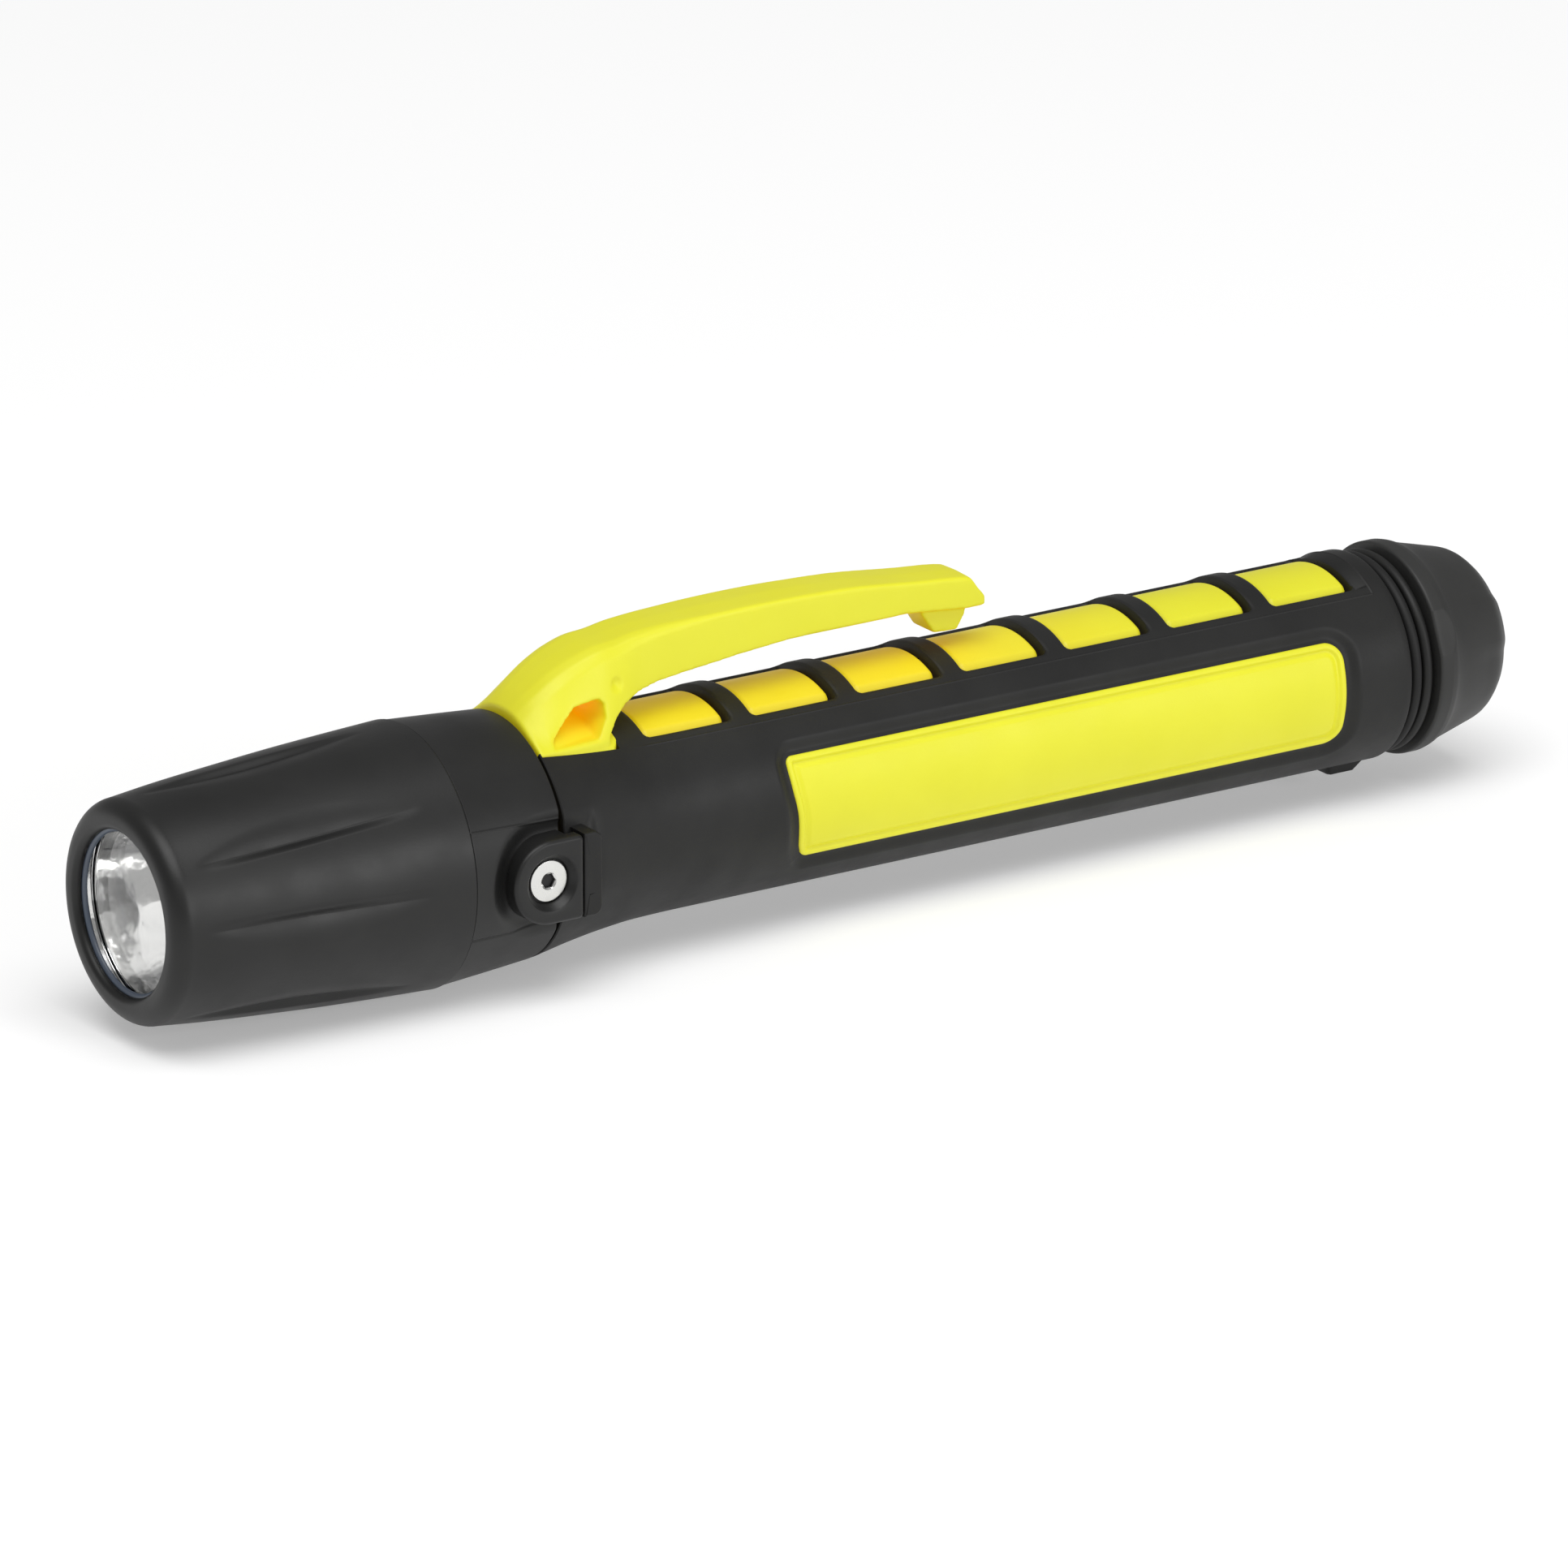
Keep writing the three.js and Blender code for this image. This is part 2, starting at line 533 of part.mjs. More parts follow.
add('switch_plunger', switchPlunger(), brass);
add('switch_housing', switchHousing(), shellBlack);
add('stem_circlip', tube(60.8, 61.4, 2.9, 4.6, SMALL), steel);
add('switch_seal', ring(TAIL_SEAL_X, 10.75, 0.65), rubberBlack);
add('switch_knob', switchKnob(), shellBlack);

export default torch;
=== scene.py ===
"""Looks for a slim two-cell hand torch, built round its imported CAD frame.

Shapes are worked out in millimetres about the torch's own axis: x runs along it with the lens
at -x, and angles run round it in degrees, from the lock screw's side (-Y) up towards the clip.
They are written into the frame in metres."""
import json
import math

import bmesh
import bpy
import numpy as np
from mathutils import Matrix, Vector


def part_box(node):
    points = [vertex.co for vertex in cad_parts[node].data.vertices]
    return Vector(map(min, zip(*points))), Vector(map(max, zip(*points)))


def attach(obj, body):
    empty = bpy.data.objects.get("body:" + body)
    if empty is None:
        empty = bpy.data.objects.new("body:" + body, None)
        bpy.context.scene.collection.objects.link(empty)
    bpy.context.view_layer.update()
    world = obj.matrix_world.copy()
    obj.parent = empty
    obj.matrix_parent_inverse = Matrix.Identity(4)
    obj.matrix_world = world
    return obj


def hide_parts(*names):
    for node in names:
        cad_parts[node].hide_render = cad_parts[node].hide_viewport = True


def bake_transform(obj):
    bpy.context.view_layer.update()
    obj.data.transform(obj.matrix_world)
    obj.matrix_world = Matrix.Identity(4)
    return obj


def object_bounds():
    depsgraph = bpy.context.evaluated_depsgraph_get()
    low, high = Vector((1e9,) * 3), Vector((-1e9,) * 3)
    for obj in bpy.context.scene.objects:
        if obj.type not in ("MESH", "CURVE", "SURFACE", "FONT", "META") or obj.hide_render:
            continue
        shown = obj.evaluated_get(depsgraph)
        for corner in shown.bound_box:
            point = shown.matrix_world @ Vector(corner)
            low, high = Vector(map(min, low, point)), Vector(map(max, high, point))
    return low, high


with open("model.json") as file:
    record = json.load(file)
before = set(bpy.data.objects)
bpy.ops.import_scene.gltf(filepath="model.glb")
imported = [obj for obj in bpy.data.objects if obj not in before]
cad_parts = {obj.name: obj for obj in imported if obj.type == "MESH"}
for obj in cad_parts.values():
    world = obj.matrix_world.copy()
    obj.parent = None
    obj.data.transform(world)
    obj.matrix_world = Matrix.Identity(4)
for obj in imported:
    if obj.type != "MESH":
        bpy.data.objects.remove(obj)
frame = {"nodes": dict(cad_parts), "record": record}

MM = 0.001
cad_low, cad_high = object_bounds()
tube_low, tube_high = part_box("inner_tube")
AXIS = Vector((0, 0, (tube_low.z + tube_high.z) / 2))


def span(node):
    """A CAD node's lowest and highest corner, in millimetres about the torch's axis."""
    low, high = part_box(node)
    return (low - AXIS) / MM, (high - AXIS) / MM


# ---- dimensions shared by several pieces, from the frame where it holds them ----
head_low, head_high = span("head_shell")
sleeve_low, sleeve_high = span("grip_sleeve")
strip_low, strip_high = span("pad_strip")
flange_low, flange_high = span("switch_housing")
screw_low, screw_high = span("lock_screw")
lens_low, lens_high = span("lens")
gasket_low, gasket_high = span("lens_gasket")
seal_low, seal_high = span("switch_seal")
clip_low, _ = span("clip_base")
_, arm_high = span("clip_arm")
_, panel_high = span("side_panel_left")
_, knob_high = span("switch_knob")

FRONT = head_low.x  # front plane of the lip
HEAD_END = -39.8  # the head's rear face, at the seam
HEAD_R = head_high.z
PARTING = -51.6  # fine groove where the head's collar begins
SLEEVE_FROM = sleeve_low.x
SLEEVE_TO = sleeve_high.x
GRIP_R = 11.8  # the sleeve's plain radius
SCREW_X = (screw_low.x + screw_high.x) / 2
SCREW_Z = (screw_low.z + screw_high.z) / 2
BOSS_FACE = head_low.y  # the screw boss's flat face looks along -Y
BOSS_HALF = 4.7
BOSS_REAR = head_high.x  # the boss reaches a little way over the grip
PLATE_ROOT = -12.0  # flat plates start at this y, inside the wall they stand on
PAD_COUNT = 7
PAD_END = 6.2  # from the end pads' centres to the strip's ends
PAD_SHIFT = 0.25  # the pads sit this far behind the middle of the strip
PAD_PITCH = (strip_high.x - strip_low.x - 2 * PAD_END) / (PAD_COUNT - 1)
PAD_HALF = 5.0  # half a pad's length
PAD_ANGLE = 29.3  # half a pad's width, in degrees
PAD_R = strip_high.z
PAD_CENTRES = [strip_low.x + PAD_END + PAD_SHIFT + PAD_PITCH * i for i in range(PAD_COUNT)]
WINDOW_HALF = PAD_HALF + 0.5
WINDOW_ANGLE = PAD_ANGLE + 2.6
PANEL_R = 11.4
PANEL_HALF = 6.27  # half the side insert's width, along its curve
PANEL_REAR = panel_high.x
KNOB_R = knob_high.z


# ---- shape helpers ----
def ease(value, start, end):
    """0 before start, 1 after end, and a smooth step between."""
    t = np.clip((value - start) / (end - start), 0, 1)
    return t * t * (3 - 2 * t)


def bump(value, width):
    """1 at 0, falling smoothly to 0 at width on both sides."""
    return 1 - ease(np.abs(value), 0, width)


def curve(points, at):
    """A smooth line through (place, value) points that never overshoots them."""
    x, y = np.array(points, float).T
    gap = np.diff(x)
    slope = np.diff(y) / gap
    tangent = np.concatenate([slope[:1], np.zeros(len(x) - 2), slope[-1:]])
    a, b = slope[:-1], slope[1:]
    same = a * b > 0
    tangent[1:-1][same] = 2 * (a * b)[same] / (a + b)[same]
    at = np.asarray(at, float)
    i = np.clip(np.searchsorted(x, at) - 1, 0, len(gap) - 1)
    t = np.clip((at - x[i]) / gap[i], 0, 1)
    rise = y[i] * (1 + 2 * t) * (1 - t) ** 2 + y[i + 1] * t * t * (3 - 2 * t)
    return rise + gap[i] * (tangent[i] * t * (1 - t) ** 2 - tangent[i + 1] * t * t * (1 - t))


def ticks(start, stop, step, dense=()):
    """Places from start to stop, step apart, and closer together in each dense (from, to, step)."""
    places = [start]
    while places[-1] < stop - 1e-9:
        here = places[-1] + 1e-9
        size = min([step] + [s for a, b, s in dense if a <= here < b])
        stops = [a for a, b, s in dense if here < a] + [b for a, b, s in dense if here < b]
        places.append(min([places[-1] + size, stop] + stops))
    return np.array(places)


def arc(x, r, radius, start, end, steps):
    """(x, r) points round an arc, angles in degrees from +x towards larger r."""
    a = np.radians(np.linspace(start, end, steps + 1))
    return [(x + radius * c, r + radius * s) for c, s in zip(np.cos(a), np.sin(a))]


def around(x, r, angles):
    """Points of one ring about the axis. x and r are numbers or one value for each angle."""
    a = np.radians(angles)
    return np.stack([x + 0 * a, -r * np.cos(a), r * np.sin(a)], -1)


def turned(profile, angles):
    """Rings about the axis from (x, r) points."""
    return [around(x, r, angles) for x, r in profile]


def rounded_rect(x, y, half_x, half_y, corner):
    """Distance outside (+) or inside (-) a rounded rectangle centred on 0, 0."""
    qx = np.abs(x) - half_x + corner
    qy = np.abs(y) - half_y + corner
    outside = np.hypot(np.maximum(qx, 0), np.maximum(qy, 0))
    return outside + np.minimum(np.maximum(qx, qy), 0) - corner


def skin(rings, looped):
    """(points, faces) of a closed skin through rings of points. Its ends are filled if it isn't looped."""
    rings = np.asarray(rings, float)
    count, size = rings.shape[:2]
    index = np.arange(count * size).reshape(count, size)
    after = np.roll(index, -1, axis=1)
    upper = np.roll(index, -1, axis=0)
    upper_after = np.roll(after, -1, axis=0)
    rows = slice(None) if looped else slice(0, -1)
    quads = np.stack([index[rows], after[rows], upper_after[rows], upper[rows]], -1)
    faces = quads.reshape(-1, 4).tolist()
    if not looped:
        faces += [index[0][::-1].tolist(), index[-1].tolist()]
    return rings.reshape(-1, 3), faces


def slab(top, bottom):
    """(points, faces) of a closed plate between two matching grids of points."""
    rows, columns = top.shape[:2]
    size = rows * columns
    index = np.arange(size).reshape(rows, columns)
    quads = np.stack([index[:-1, :-1], index[1:, :-1], index[1:, 1:], index[:-1, 1:]], -1).reshape(-1, 4)
    faces = quads.tolist() + (quads[:, ::-1] + size).tolist()
    edge = np.concatenate([index[0], index[1:, -1], index[-1, -2::-1], index[-2:0:-1, 0]])
    after = np.roll(edge, -1)
    faces += np.stack([edge, after, after + size, edge + size], -1).tolist()
    return np.concatenate([top.reshape(-1, 3), bottom.reshape(-1, 3)]), faces


def lathe(profile, segments=160, looped=True):
    """(points, faces) of a turned solid from (x, r) points."""
    return skin(turned(profile, np.arange(segments) * 360 / segments), looped)


def linked(name, data):
    """A new object in the scene."""
    made = bpy.data.objects.new(name, data)
    bpy.context.scene.collection.objects.link(made)
    return made


def closed_mesh(name, points, faces):
    """A mesh whose faces all point outwards."""
    mesh = bpy.data.meshes.new(name)
    mesh.from_pydata(points, [], faces)
    work = bmesh.new()
    work.from_mesh(mesh)
    bmesh.ops.recalc_face_normals(work, faces=work.faces)
    work.to_mesh(mesh)
    work.free()
    return mesh


def piece(name, parts, material, body, replaces=(), smooth=40):
    """One object from (points, faces) parts, in millimetres about the axis. Edges sharper than
    smooth degrees stay crisp; 0 leaves none."""
    points, faces = [], []
    for part_points, part_faces in parts:
        start = len(points)
        points += (np.asarray(part_points) * MM + np.array(AXIS)).tolist()
        faces += [[v + start for v in face] for face in part_faces]
    mesh = closed_mesh(name, points, faces)
    mesh.shade_smooth()
    if smooth:
        mesh.set_sharp_from_angle(angle=math.radians(smooth))
    mesh.materials.append(material)
    made = linked(name, mesh)
    if body:
        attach(made, body)
    if replaces:
        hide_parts(*replaces)
    return made


# ---- materials ----
def principled(name, colour, roughness, metallic=0.0):
    """A new material and its main shader."""
    material = bpy.data.materials.new(name)
    material.use_nodes = True
    main = material.node_tree.nodes["Principled BSDF"]
    main.inputs["Base Color"].default_value = (*colour, 1)
    main.inputs["Roughness"].default_value = roughness
    main.inputs["Metallic"].default_value = metallic
    material.diffuse_color = (*colour, 1)
    return material, main


def node(material, kind, **settings):
    """A new shader node."""
    made = material.node_tree.nodes.new(kind)
    for key, value in settings.items():
        setattr(made, key, value)
    return made


def noise(material, scale, detail=2.0, stretch=(1, 1, 1)):
    """Noise fixed to the piece itself; scale is in features per metre."""
    links = material.node_tree.links
    place = node(material, "ShaderNodeTexCoord")
    mapping = node(material, "ShaderNodeMapping")
    mapping.inputs["Scale"].default_value = stretch
    links.new(place.outputs["Object"], mapping.inputs["Vector"])
    made = node(material, "ShaderNodeTexNoise")
    made.inputs["Scale"].default_value = scale
    made.inputs["Detail"].default_value = detail
    links.new(mapping.outputs["Vector"], made.inputs["Vector"])
    return made.outputs["Fac"]


def remap(material, value, low, high, to_low, to_high):
    """A value between low and high, brought to between to_low and to_high."""
    made = node(material, "ShaderNodeMapRange")
    material.node_tree.links.new(value, made.inputs["Value"])
    for key, number in zip(("From Min", "From Max", "To Min", "To Max"), (low, high, to_low, to_high)):
        made.inputs[key].default_value = number
    return made.outputs["Result"]


def mix(material, factor, first, second):
    """A colour between two others; each is three numbers or a socket."""
    links = material.node_tree.links
    made = node(material, "ShaderNodeMix", data_type="RGBA")
    links.new(factor, made.inputs["Factor"])
    for key, colour in (("A", first), ("B", second)):
        socket = [s for s in made.inputs if s.name == key and s.type == "RGBA"][0]
        if isinstance(colour, bpy.types.NodeSocket):
            links.new(colour, socket)
        else:
            socket.default_value = (*colour, 1)
    return [s for s in made.outputs if s.type == "RGBA"][0]


def relief(material, main, height, strength, depth, before=None):
    """Bump from a height value; depth is in metres. Returns the normal so that another can follow."""
    links = material.node_tree.links
    made = node(material, "ShaderNodeBump")
    made.inputs["Strength"].default_value = strength
    made.inputs["Distance"].default_value = depth
    links.new(height, made.inputs["Height"])
    if before is not None:
        links.new(before, made.inputs["Normal"])
    links.new(made.outputs["Normal"], main.inputs["Normal"])
    return made.outputs["Normal"]


def moulded(name, dark, light, rough, grain, grain_depth, specular=0.5):
    """Moulded plastic: mottled colour, uneven gloss, spark-eroded grain and faint flow ripple.
    grain is in features per metre and grain_depth in metres."""
    material, main = principled(name, dark, sum(rough) / 2)
    links = material.node_tree.links
    patches = remap(material, noise(material, 95, 4), 0.35, 0.68, 0, 1)
    links.new(mix(material, patches, dark, light), main.inputs["Base Color"])
    worn = remap(material, noise(material, 210, 5), 0.3, 0.7, rough[0], rough[1])
    links.new(worn, main.inputs["Roughness"])
    main.inputs["Specular IOR Level"].default_value = specular
    ripple = relief(material, main, noise(material, 160, 2), 0.25, 0.00003)
    relief(material, main, noise(material, grain, 3), 0.35, grain_depth, ripple)
    return material


def luminous_with_painted_glow(name, painted_bounce):
    """Luminous yellow moulding with fine grain, with painted light in its colour: it is painted orange where
    bounced light would gather, and a faint orange painted emission lifts its shade everywhere, more so there.
    The second argument makes the socket that says how much, from 0 to 1."""
    material = moulded(name, dark=(0.615, 0.645, 0.016), light=(0.64, 0.67, 0.020), rough=(0.42, 0.55),
                       grain=3600, grain_depth=0.00003)
    main = material.node_tree.nodes["Principled BSDF"]
    plain = main.inputs["Base Color"].links[0].from_socket
    # painted bounce light: the orange painted into hollows and under the clip
    orange = (0.72, 0.37, 0.002)
    bounce_tinted = mix(material, painted_bounce(material), plain, orange)
    material.node_tree.links.new(bounce_tinted, main.inputs["Base Color"])
    # painted emission: orange light from the surface itself that lifts its shade; the part is no lamp
    painted_glow = mix(material, painted_bounce(material), (0.27, 0.15, 0.0), (0.95, 0.38, 0.0))
    material.node_tree.links.new(painted_glow, main.inputs["Emission Color"])
    main.inputs["Emission Strength"].default_value = 0.45
    main.inputs["Subsurface Weight"].default_value = 0.12
    main.inputs["Subsurface Radius"].default_value = (1.0, 0.75, 0.1)
    main.inputs["Subsurface Scale"].default_value = 0.0012
    return material


def painted_bounce_in_clip(material):
    """The amount of painted bounce light that the clip's mesh carries; the side inserts carry none."""
    return node(material, "ShaderNodeAttribute", attribute_name="painted_bounce").outputs["Fac"]


def painted_bounce_below_clip(material):
    """Painted bounce light and shade from the clip: the pads under the clip's arm are painted warmer, fading
    out towards the open end.
    """
    place = node(material, "ShaderNodeTexCoord")
    split = node(material, "ShaderNodeSeparateXYZ")
    material.node_tree.links.new(place.outputs["Object"], split.inputs["Vector"])
    under_arm, in_the_open = 0.012, 0.045
    return remap(material, split.outputs["X"], under_arm, in_the_open, 0.24, 0.0)


def brushed(name, colour, roughness, stretch):
    """Metal with fine tool lines along one direction."""
    material, main = principled(name, colour, roughness, 1.0)
    lines = noise(material, 900, 3, stretch)
    links = material.node_tree.links
    links.new(remap(material, lines, 0.3, 0.7, roughness * 0.8, roughness * 1.3), main.inputs["Roughness"])
    relief(material, main, lines, 0.15, 0.00001)
    return material


def glossy(name, colour, roughness, mottle=0.12):
    """Smooth coated or painted surface with slight unevenness."""
    material, main = principled(name, colour, roughness)
    links = material.node_tree.links
    darker = tuple(c * (1 - mottle) for c in colour)
    links.new(mix(material, noise(material, 260, 3), darker, colour), main.inputs["Base Color"])
    relief(material, main, noise(material, 1500, 2), 0.1, 0.00002)
    return material


def clear_plastic(name):
    """Clear moulding with a barely uneven face."""
    material, main = principled(name, (1, 1, 1), 0.03)
    main.inputs["Transmission Weight"].default_value = 1.0
    main.inputs["IOR"].default_value = 1.46
    relief(material, main, noise(material, 70, 1), 0.05, 0.00002)
    return material


def mirror(name):
    """Vacuum-silvered bowl, a little wavy."""
    material, main = principled(name, (0.93, 0.93, 0.92), 0.06, 1.0)
    relief(material, main, noise(material, 190, 3), 0.6, 0.0005)
    haze = remap(material, noise(material, 400, 3), 0.3, 0.7, 0.10, 0.22)
    material.node_tree.links.new(haze, main.inputs["Roughness"])
    return material


shell_black = moulded("shell_black", dark=(0.006, 0.006, 0.0058), light=(0.010, 0.010, 0.0096),
                      rough=(0.40, 0.48), grain=4200, grain_depth=0.00002, specular=0.40)
grip_black = moulded("grip_black", dark=(0.007, 0.007, 0.0067), light=(0.012, 0.012, 0.0114),
                     rough=(0.46, 0.56), grain=3800, grain_depth=0.00003, specular=0.33)
knob_black = moulded("knob_black", dark=(0.024, 0.024, 0.0232), light=(0.030, 0.030, 0.0290),
                     rough=(0.44, 0.52), grain=4200, grain_depth=0.00002, specular=0.32)
rubber_black = moulded("rubber_black", dark=(0.010, 0.010, 0.010), light=(0.014, 0.014, 0.014),
                       rough=(0.50, 0.60), grain=1800, grain_depth=0.00001, specular=0.26)
yellow = luminous_with_painted_glow("luminous_yellow", painted_bounce_in_clip)
# the pads' yellow, painted warmer under the clip's arm as bounce light and shade from it
pad_yellow_painted_bounce = luminous_with_painted_glow("pad_yellow_painted_bounce", painted_bounce_below_clip)
seal_grey = glossy("seal_grey", (0.08, 0.10, 0.135), 0.35)
lens_clear = clear_plastic("lens_clear")
silvered = mirror("silvered")
steel = brushed("steel", (0.72, 0.72, 0.70), 0.26, stretch=(1, 0.1, 1))
# painted shade: a dark steel for the cup that darkens the screw's socket
painted_shade_steel = brushed("painted_shade_steel", (0.10, 0.10, 0.10), 0.4, stretch=(1, 1, 1))
brass = brushed("brass", (0.72, 0.50, 0.20), 0.3, stretch=(0.1, 1, 1))
aluminium = brushed("aluminium", (0.68, 0.69, 0.71), 0.35, stretch=(1, 0.15, 1))
board_green = glossy("board_green", (0.02, 0.17, 0.07), 0.3)
board_white = glossy("board_white", (0.78, 0.79, 0.77), 0.35)
phosphor = glossy("phosphor", (0.85, 0.66, 0.12), 0.2)
cell_wrap = glossy("cell_wrap", (0.04, 0.10, 0.28), 0.25)
BY_SLOT = {
    "shell_black": shell_black, "grip_black": grip_black, "rubber_black": rubber_black,
    "luminous_yellow": yellow, "seal_grey": seal_grey, "lens_clear": lens_clear,
    "silvered": silvered, "steel": steel, "brass": brass, "aluminium": aluminium,
    "board_green": board_green, "board_white": board_white, "phosphor": phosphor,
    "cell_wrap": cell_wrap,
}


def finish_cad_nodes():
    """Every CAD node takes the finish of its material slot."""
    for part in frame["record"]["subparts"]:
        held = frame["nodes"][part["node"]]
        held.data.materials.clear()
        held.data.materials.append(BY_SLOT[part["material_slot"]])


# ---- head ----
LIP_BORE = 9.1  # opening in the head's lip
LIP_INNER = 0.75  # rounding of the opening's edge
LIP_OUTER = 2.05  # rounding of the lip's outer edge
LIP_FACE = 10.3  # radius at which that rounding starts
HEAD_OUTSIDE = [
    (FRONT + LIP_OUTER, 12.35), (-78.9, 13.0), (-71.9, 13.55), (-64.9, 14.05), (-58.3, 14.4),
    (PARTING - 0.05, HEAD_R),
]
COLLAR = [(PARTING + 0.05, HEAD_R - 0.12), (-44.9, 14.1), (HEAD_END, 13.7)]
HEAD_EDGE = 0.15  # rounding of the head's rear edge
MODULE_BORE = 10.9  # holds the light module
NECK_BORE, NECK_TO = 11.1, -57.5  # runs over the handle's neck
# The hollows come in pairs whose steep sides face each other across a raised land, four times round.
# Each is its crease's angle at the front and rear, and the side (+1 up) that slopes gently.
FLUTE_PAIR = [(4.1, 1.9, -1), (36.8, 40.8, 1)]
FLUTES = [(front + turn, rear + turn, side) for front, rear, side in FLUTE_PAIR for turn in (0, 90, 180, 270)]
FLUTE_FROM, FLUTE_TO = -83.3, -56.6
FLUTE_R = 13.8  # radius at which their widths are measured
FLUTE_DEPTH = 0.72
FLUTE_STEEP = 1.05  # width of the steep side
FLUTE_TIP, FLUTE_SWELL = 0.6, 2.9  # width of the gentle side at the tips, and what the middle adds
# The recess round the screw, as (depth below the boss's face, radius).
POCKET = [(0, 3.25), (0.05, 3.15), (0.2, 3.05), (0.65, 2.65), (0.85, 2.5), (1.2, 2.45), (1.3, 0.4)]
COLLAR_FLAT = -14.0  # y of the flat that the boss stands on
COLLAR_FLAT_EDGE = 0.05
BOSS_ROOT = -13.95
BOSS_EDGE = 0.5


def flute_depth(x, angle):
    """How far the eight spindle-shaped grip hollows sink into the head."""
    depth = np.zeros(np.broadcast(x, angle).shape)
    t = np.clip((x - FLUTE_FROM) / (FLUTE_TO - FLUTE_FROM), 0, 1)
    swell = np.sin(np.pi * t ** 0.92)
    for front, rear, side in FLUTES:
        crease = front + (rear - front) * t
        away = (angle - crease + 180) % 360 - 180
        off = np.radians(away) * FLUTE_R * side
        steep = 1 - ease(-off, -0.15, FLUTE_STEEP)
        gentle = np.clip(1 - off / (FLUTE_TIP + FLUTE_SWELL * swell), 0, 1) ** 1.6
        depth = np.maximum(depth, FLUTE_DEPTH * swell * np.minimum(steep, gentle))
    return depth


def boss_distance(x, z):
    """Distance from the D-shaped boss's outline, seen along Y."""
    z = z - SCREW_Z
    return np.where(x < SCREW_X, np.hypot(x - SCREW_X, z), np.abs(z)) - BOSS_HALF


def head_radius(x, angle):
    """The head's outer radius, with its hollows, its parting groove, the moat round the boss, and
    the mould's two witness lines, a raised one above the boss and a sunk one below it."""
    base = np.where(x < PARTING, curve(HEAD_OUTSIDE, x), curve(COLLAR, x))
    r = base - flute_depth(x, angle)
    r = r - 0.10 * bump(x - PARTING, 0.12)
    z = r * np.sin(np.radians(angle))
    near = np.cos(np.radians(angle)) > 0
    moat = 0.85 * (1 - ease(boss_distance(x, z), 0.3, 2.3))
    r = r - np.where(near & (x > PARTING + 0.4), moat, 0)
    upper = 6.1 - 0.05 * (x - PARTING)
    lower = -6.0 - 0.03 * (x - PARTING)
    raised = 0.07 * bump(z - upper, 0.16)
    sunk = 0.12 * bump(z - lower, 0.2)
    return r + np.where(near & (x > PARTING), raised - sunk, 0)


def plate_rings(outline, centre, root, face, edge, hole=()):
    """Rings of a flat-faced block standing along -Y on an outline of (x, z) points, its front edge
    rounded. The hole is (y, radius) points, from its rim inwards."""
    outline = np.array(outline, float)
    before, after = np.roll(outline, 1, 0), np.roll(outline, -1, 0)
    along = after - before
    outward = np.stack([along[:, 1], -along[:, 0]], -1)
    outward /= np.linalg.norm(outward, axis=1)[:, None]
    middle = np.array(centre)
    if ((outline - middle) * outward).sum() < 0:
        outward = -outward
    levels = [(root, 0.0), (face + edge, 0.0)]
    for a in np.radians(np.linspace(12, 90, 7)):
        levels.append((face + edge * (1 - math.sin(a)), edge * (1 - math.cos(a))))
    rings = [np.insert(outline - outward * inset, 1, y, axis=1) for y, inset in levels]
    spokes = outline - middle
    spokes /= np.linalg.norm(spokes, axis=1)[:, None]
    inner = rings[-1][:, [0, 2]]
    for y, radius in hole:
        rings.append(np.insert(middle + spokes * radius, 1, y, axis=1))
    if not hole:
        rings.append(np.insert(middle + (inner - middle) * 0.5, 1, face, axis=1))
    return rings


def rear_side(rear, front, corner):
    """The straight sides and rounded rear corners shared by the boss and the block behind it."""
    steps = np.radians(np.linspace(9, 90, 10))
    turn = [(rear - corner + corner * math.sin(a), -BOSS_HALF + corner * (1 - math.cos(a))) for a in steps]
    lower = [(x, -BOSS_HALF) for x in np.linspace(front, rear - corner, 8)[1:]] + turn
    middle = [(rear, z) for z in np.linspace(-BOSS_HALF + corner, BOSS_HALF - corner, 22)[1:-1]]
    upper = [(x, -z) for x, z in lower[::-1]]
    return [(x, z + SCREW_Z) for x, z in lower + middle + upper]


def boss_outline(rear):
    """The boss seen along Y: round in front, straight to its rear edge."""
    front = [(SCREW_X + BOSS_HALF * math.cos(a), SCREW_Z + BOSS_HALF * math.sin(a))
             for a in np.radians(np.linspace(90, 270, 61))]
    return front + rear_side(rear, SCREW_X, 0.6)


def head_angles():
    """Angles round the head, closer together at the hollows' creases and the witness lines."""
    first = -30
    dense = [(22.5, 27.5, 0.3), (-28.0, -23.0, 0.3)]
    for front, rear, _ in FLUTES:
        crease = [(angle - first) % 360 + first for angle in (front, rear)]
        dense.append((min(crease) - 2.6, max(crease) + 2.6, 0.45))
    return ticks(first, first + 360, 1.25, dense)[:-1]


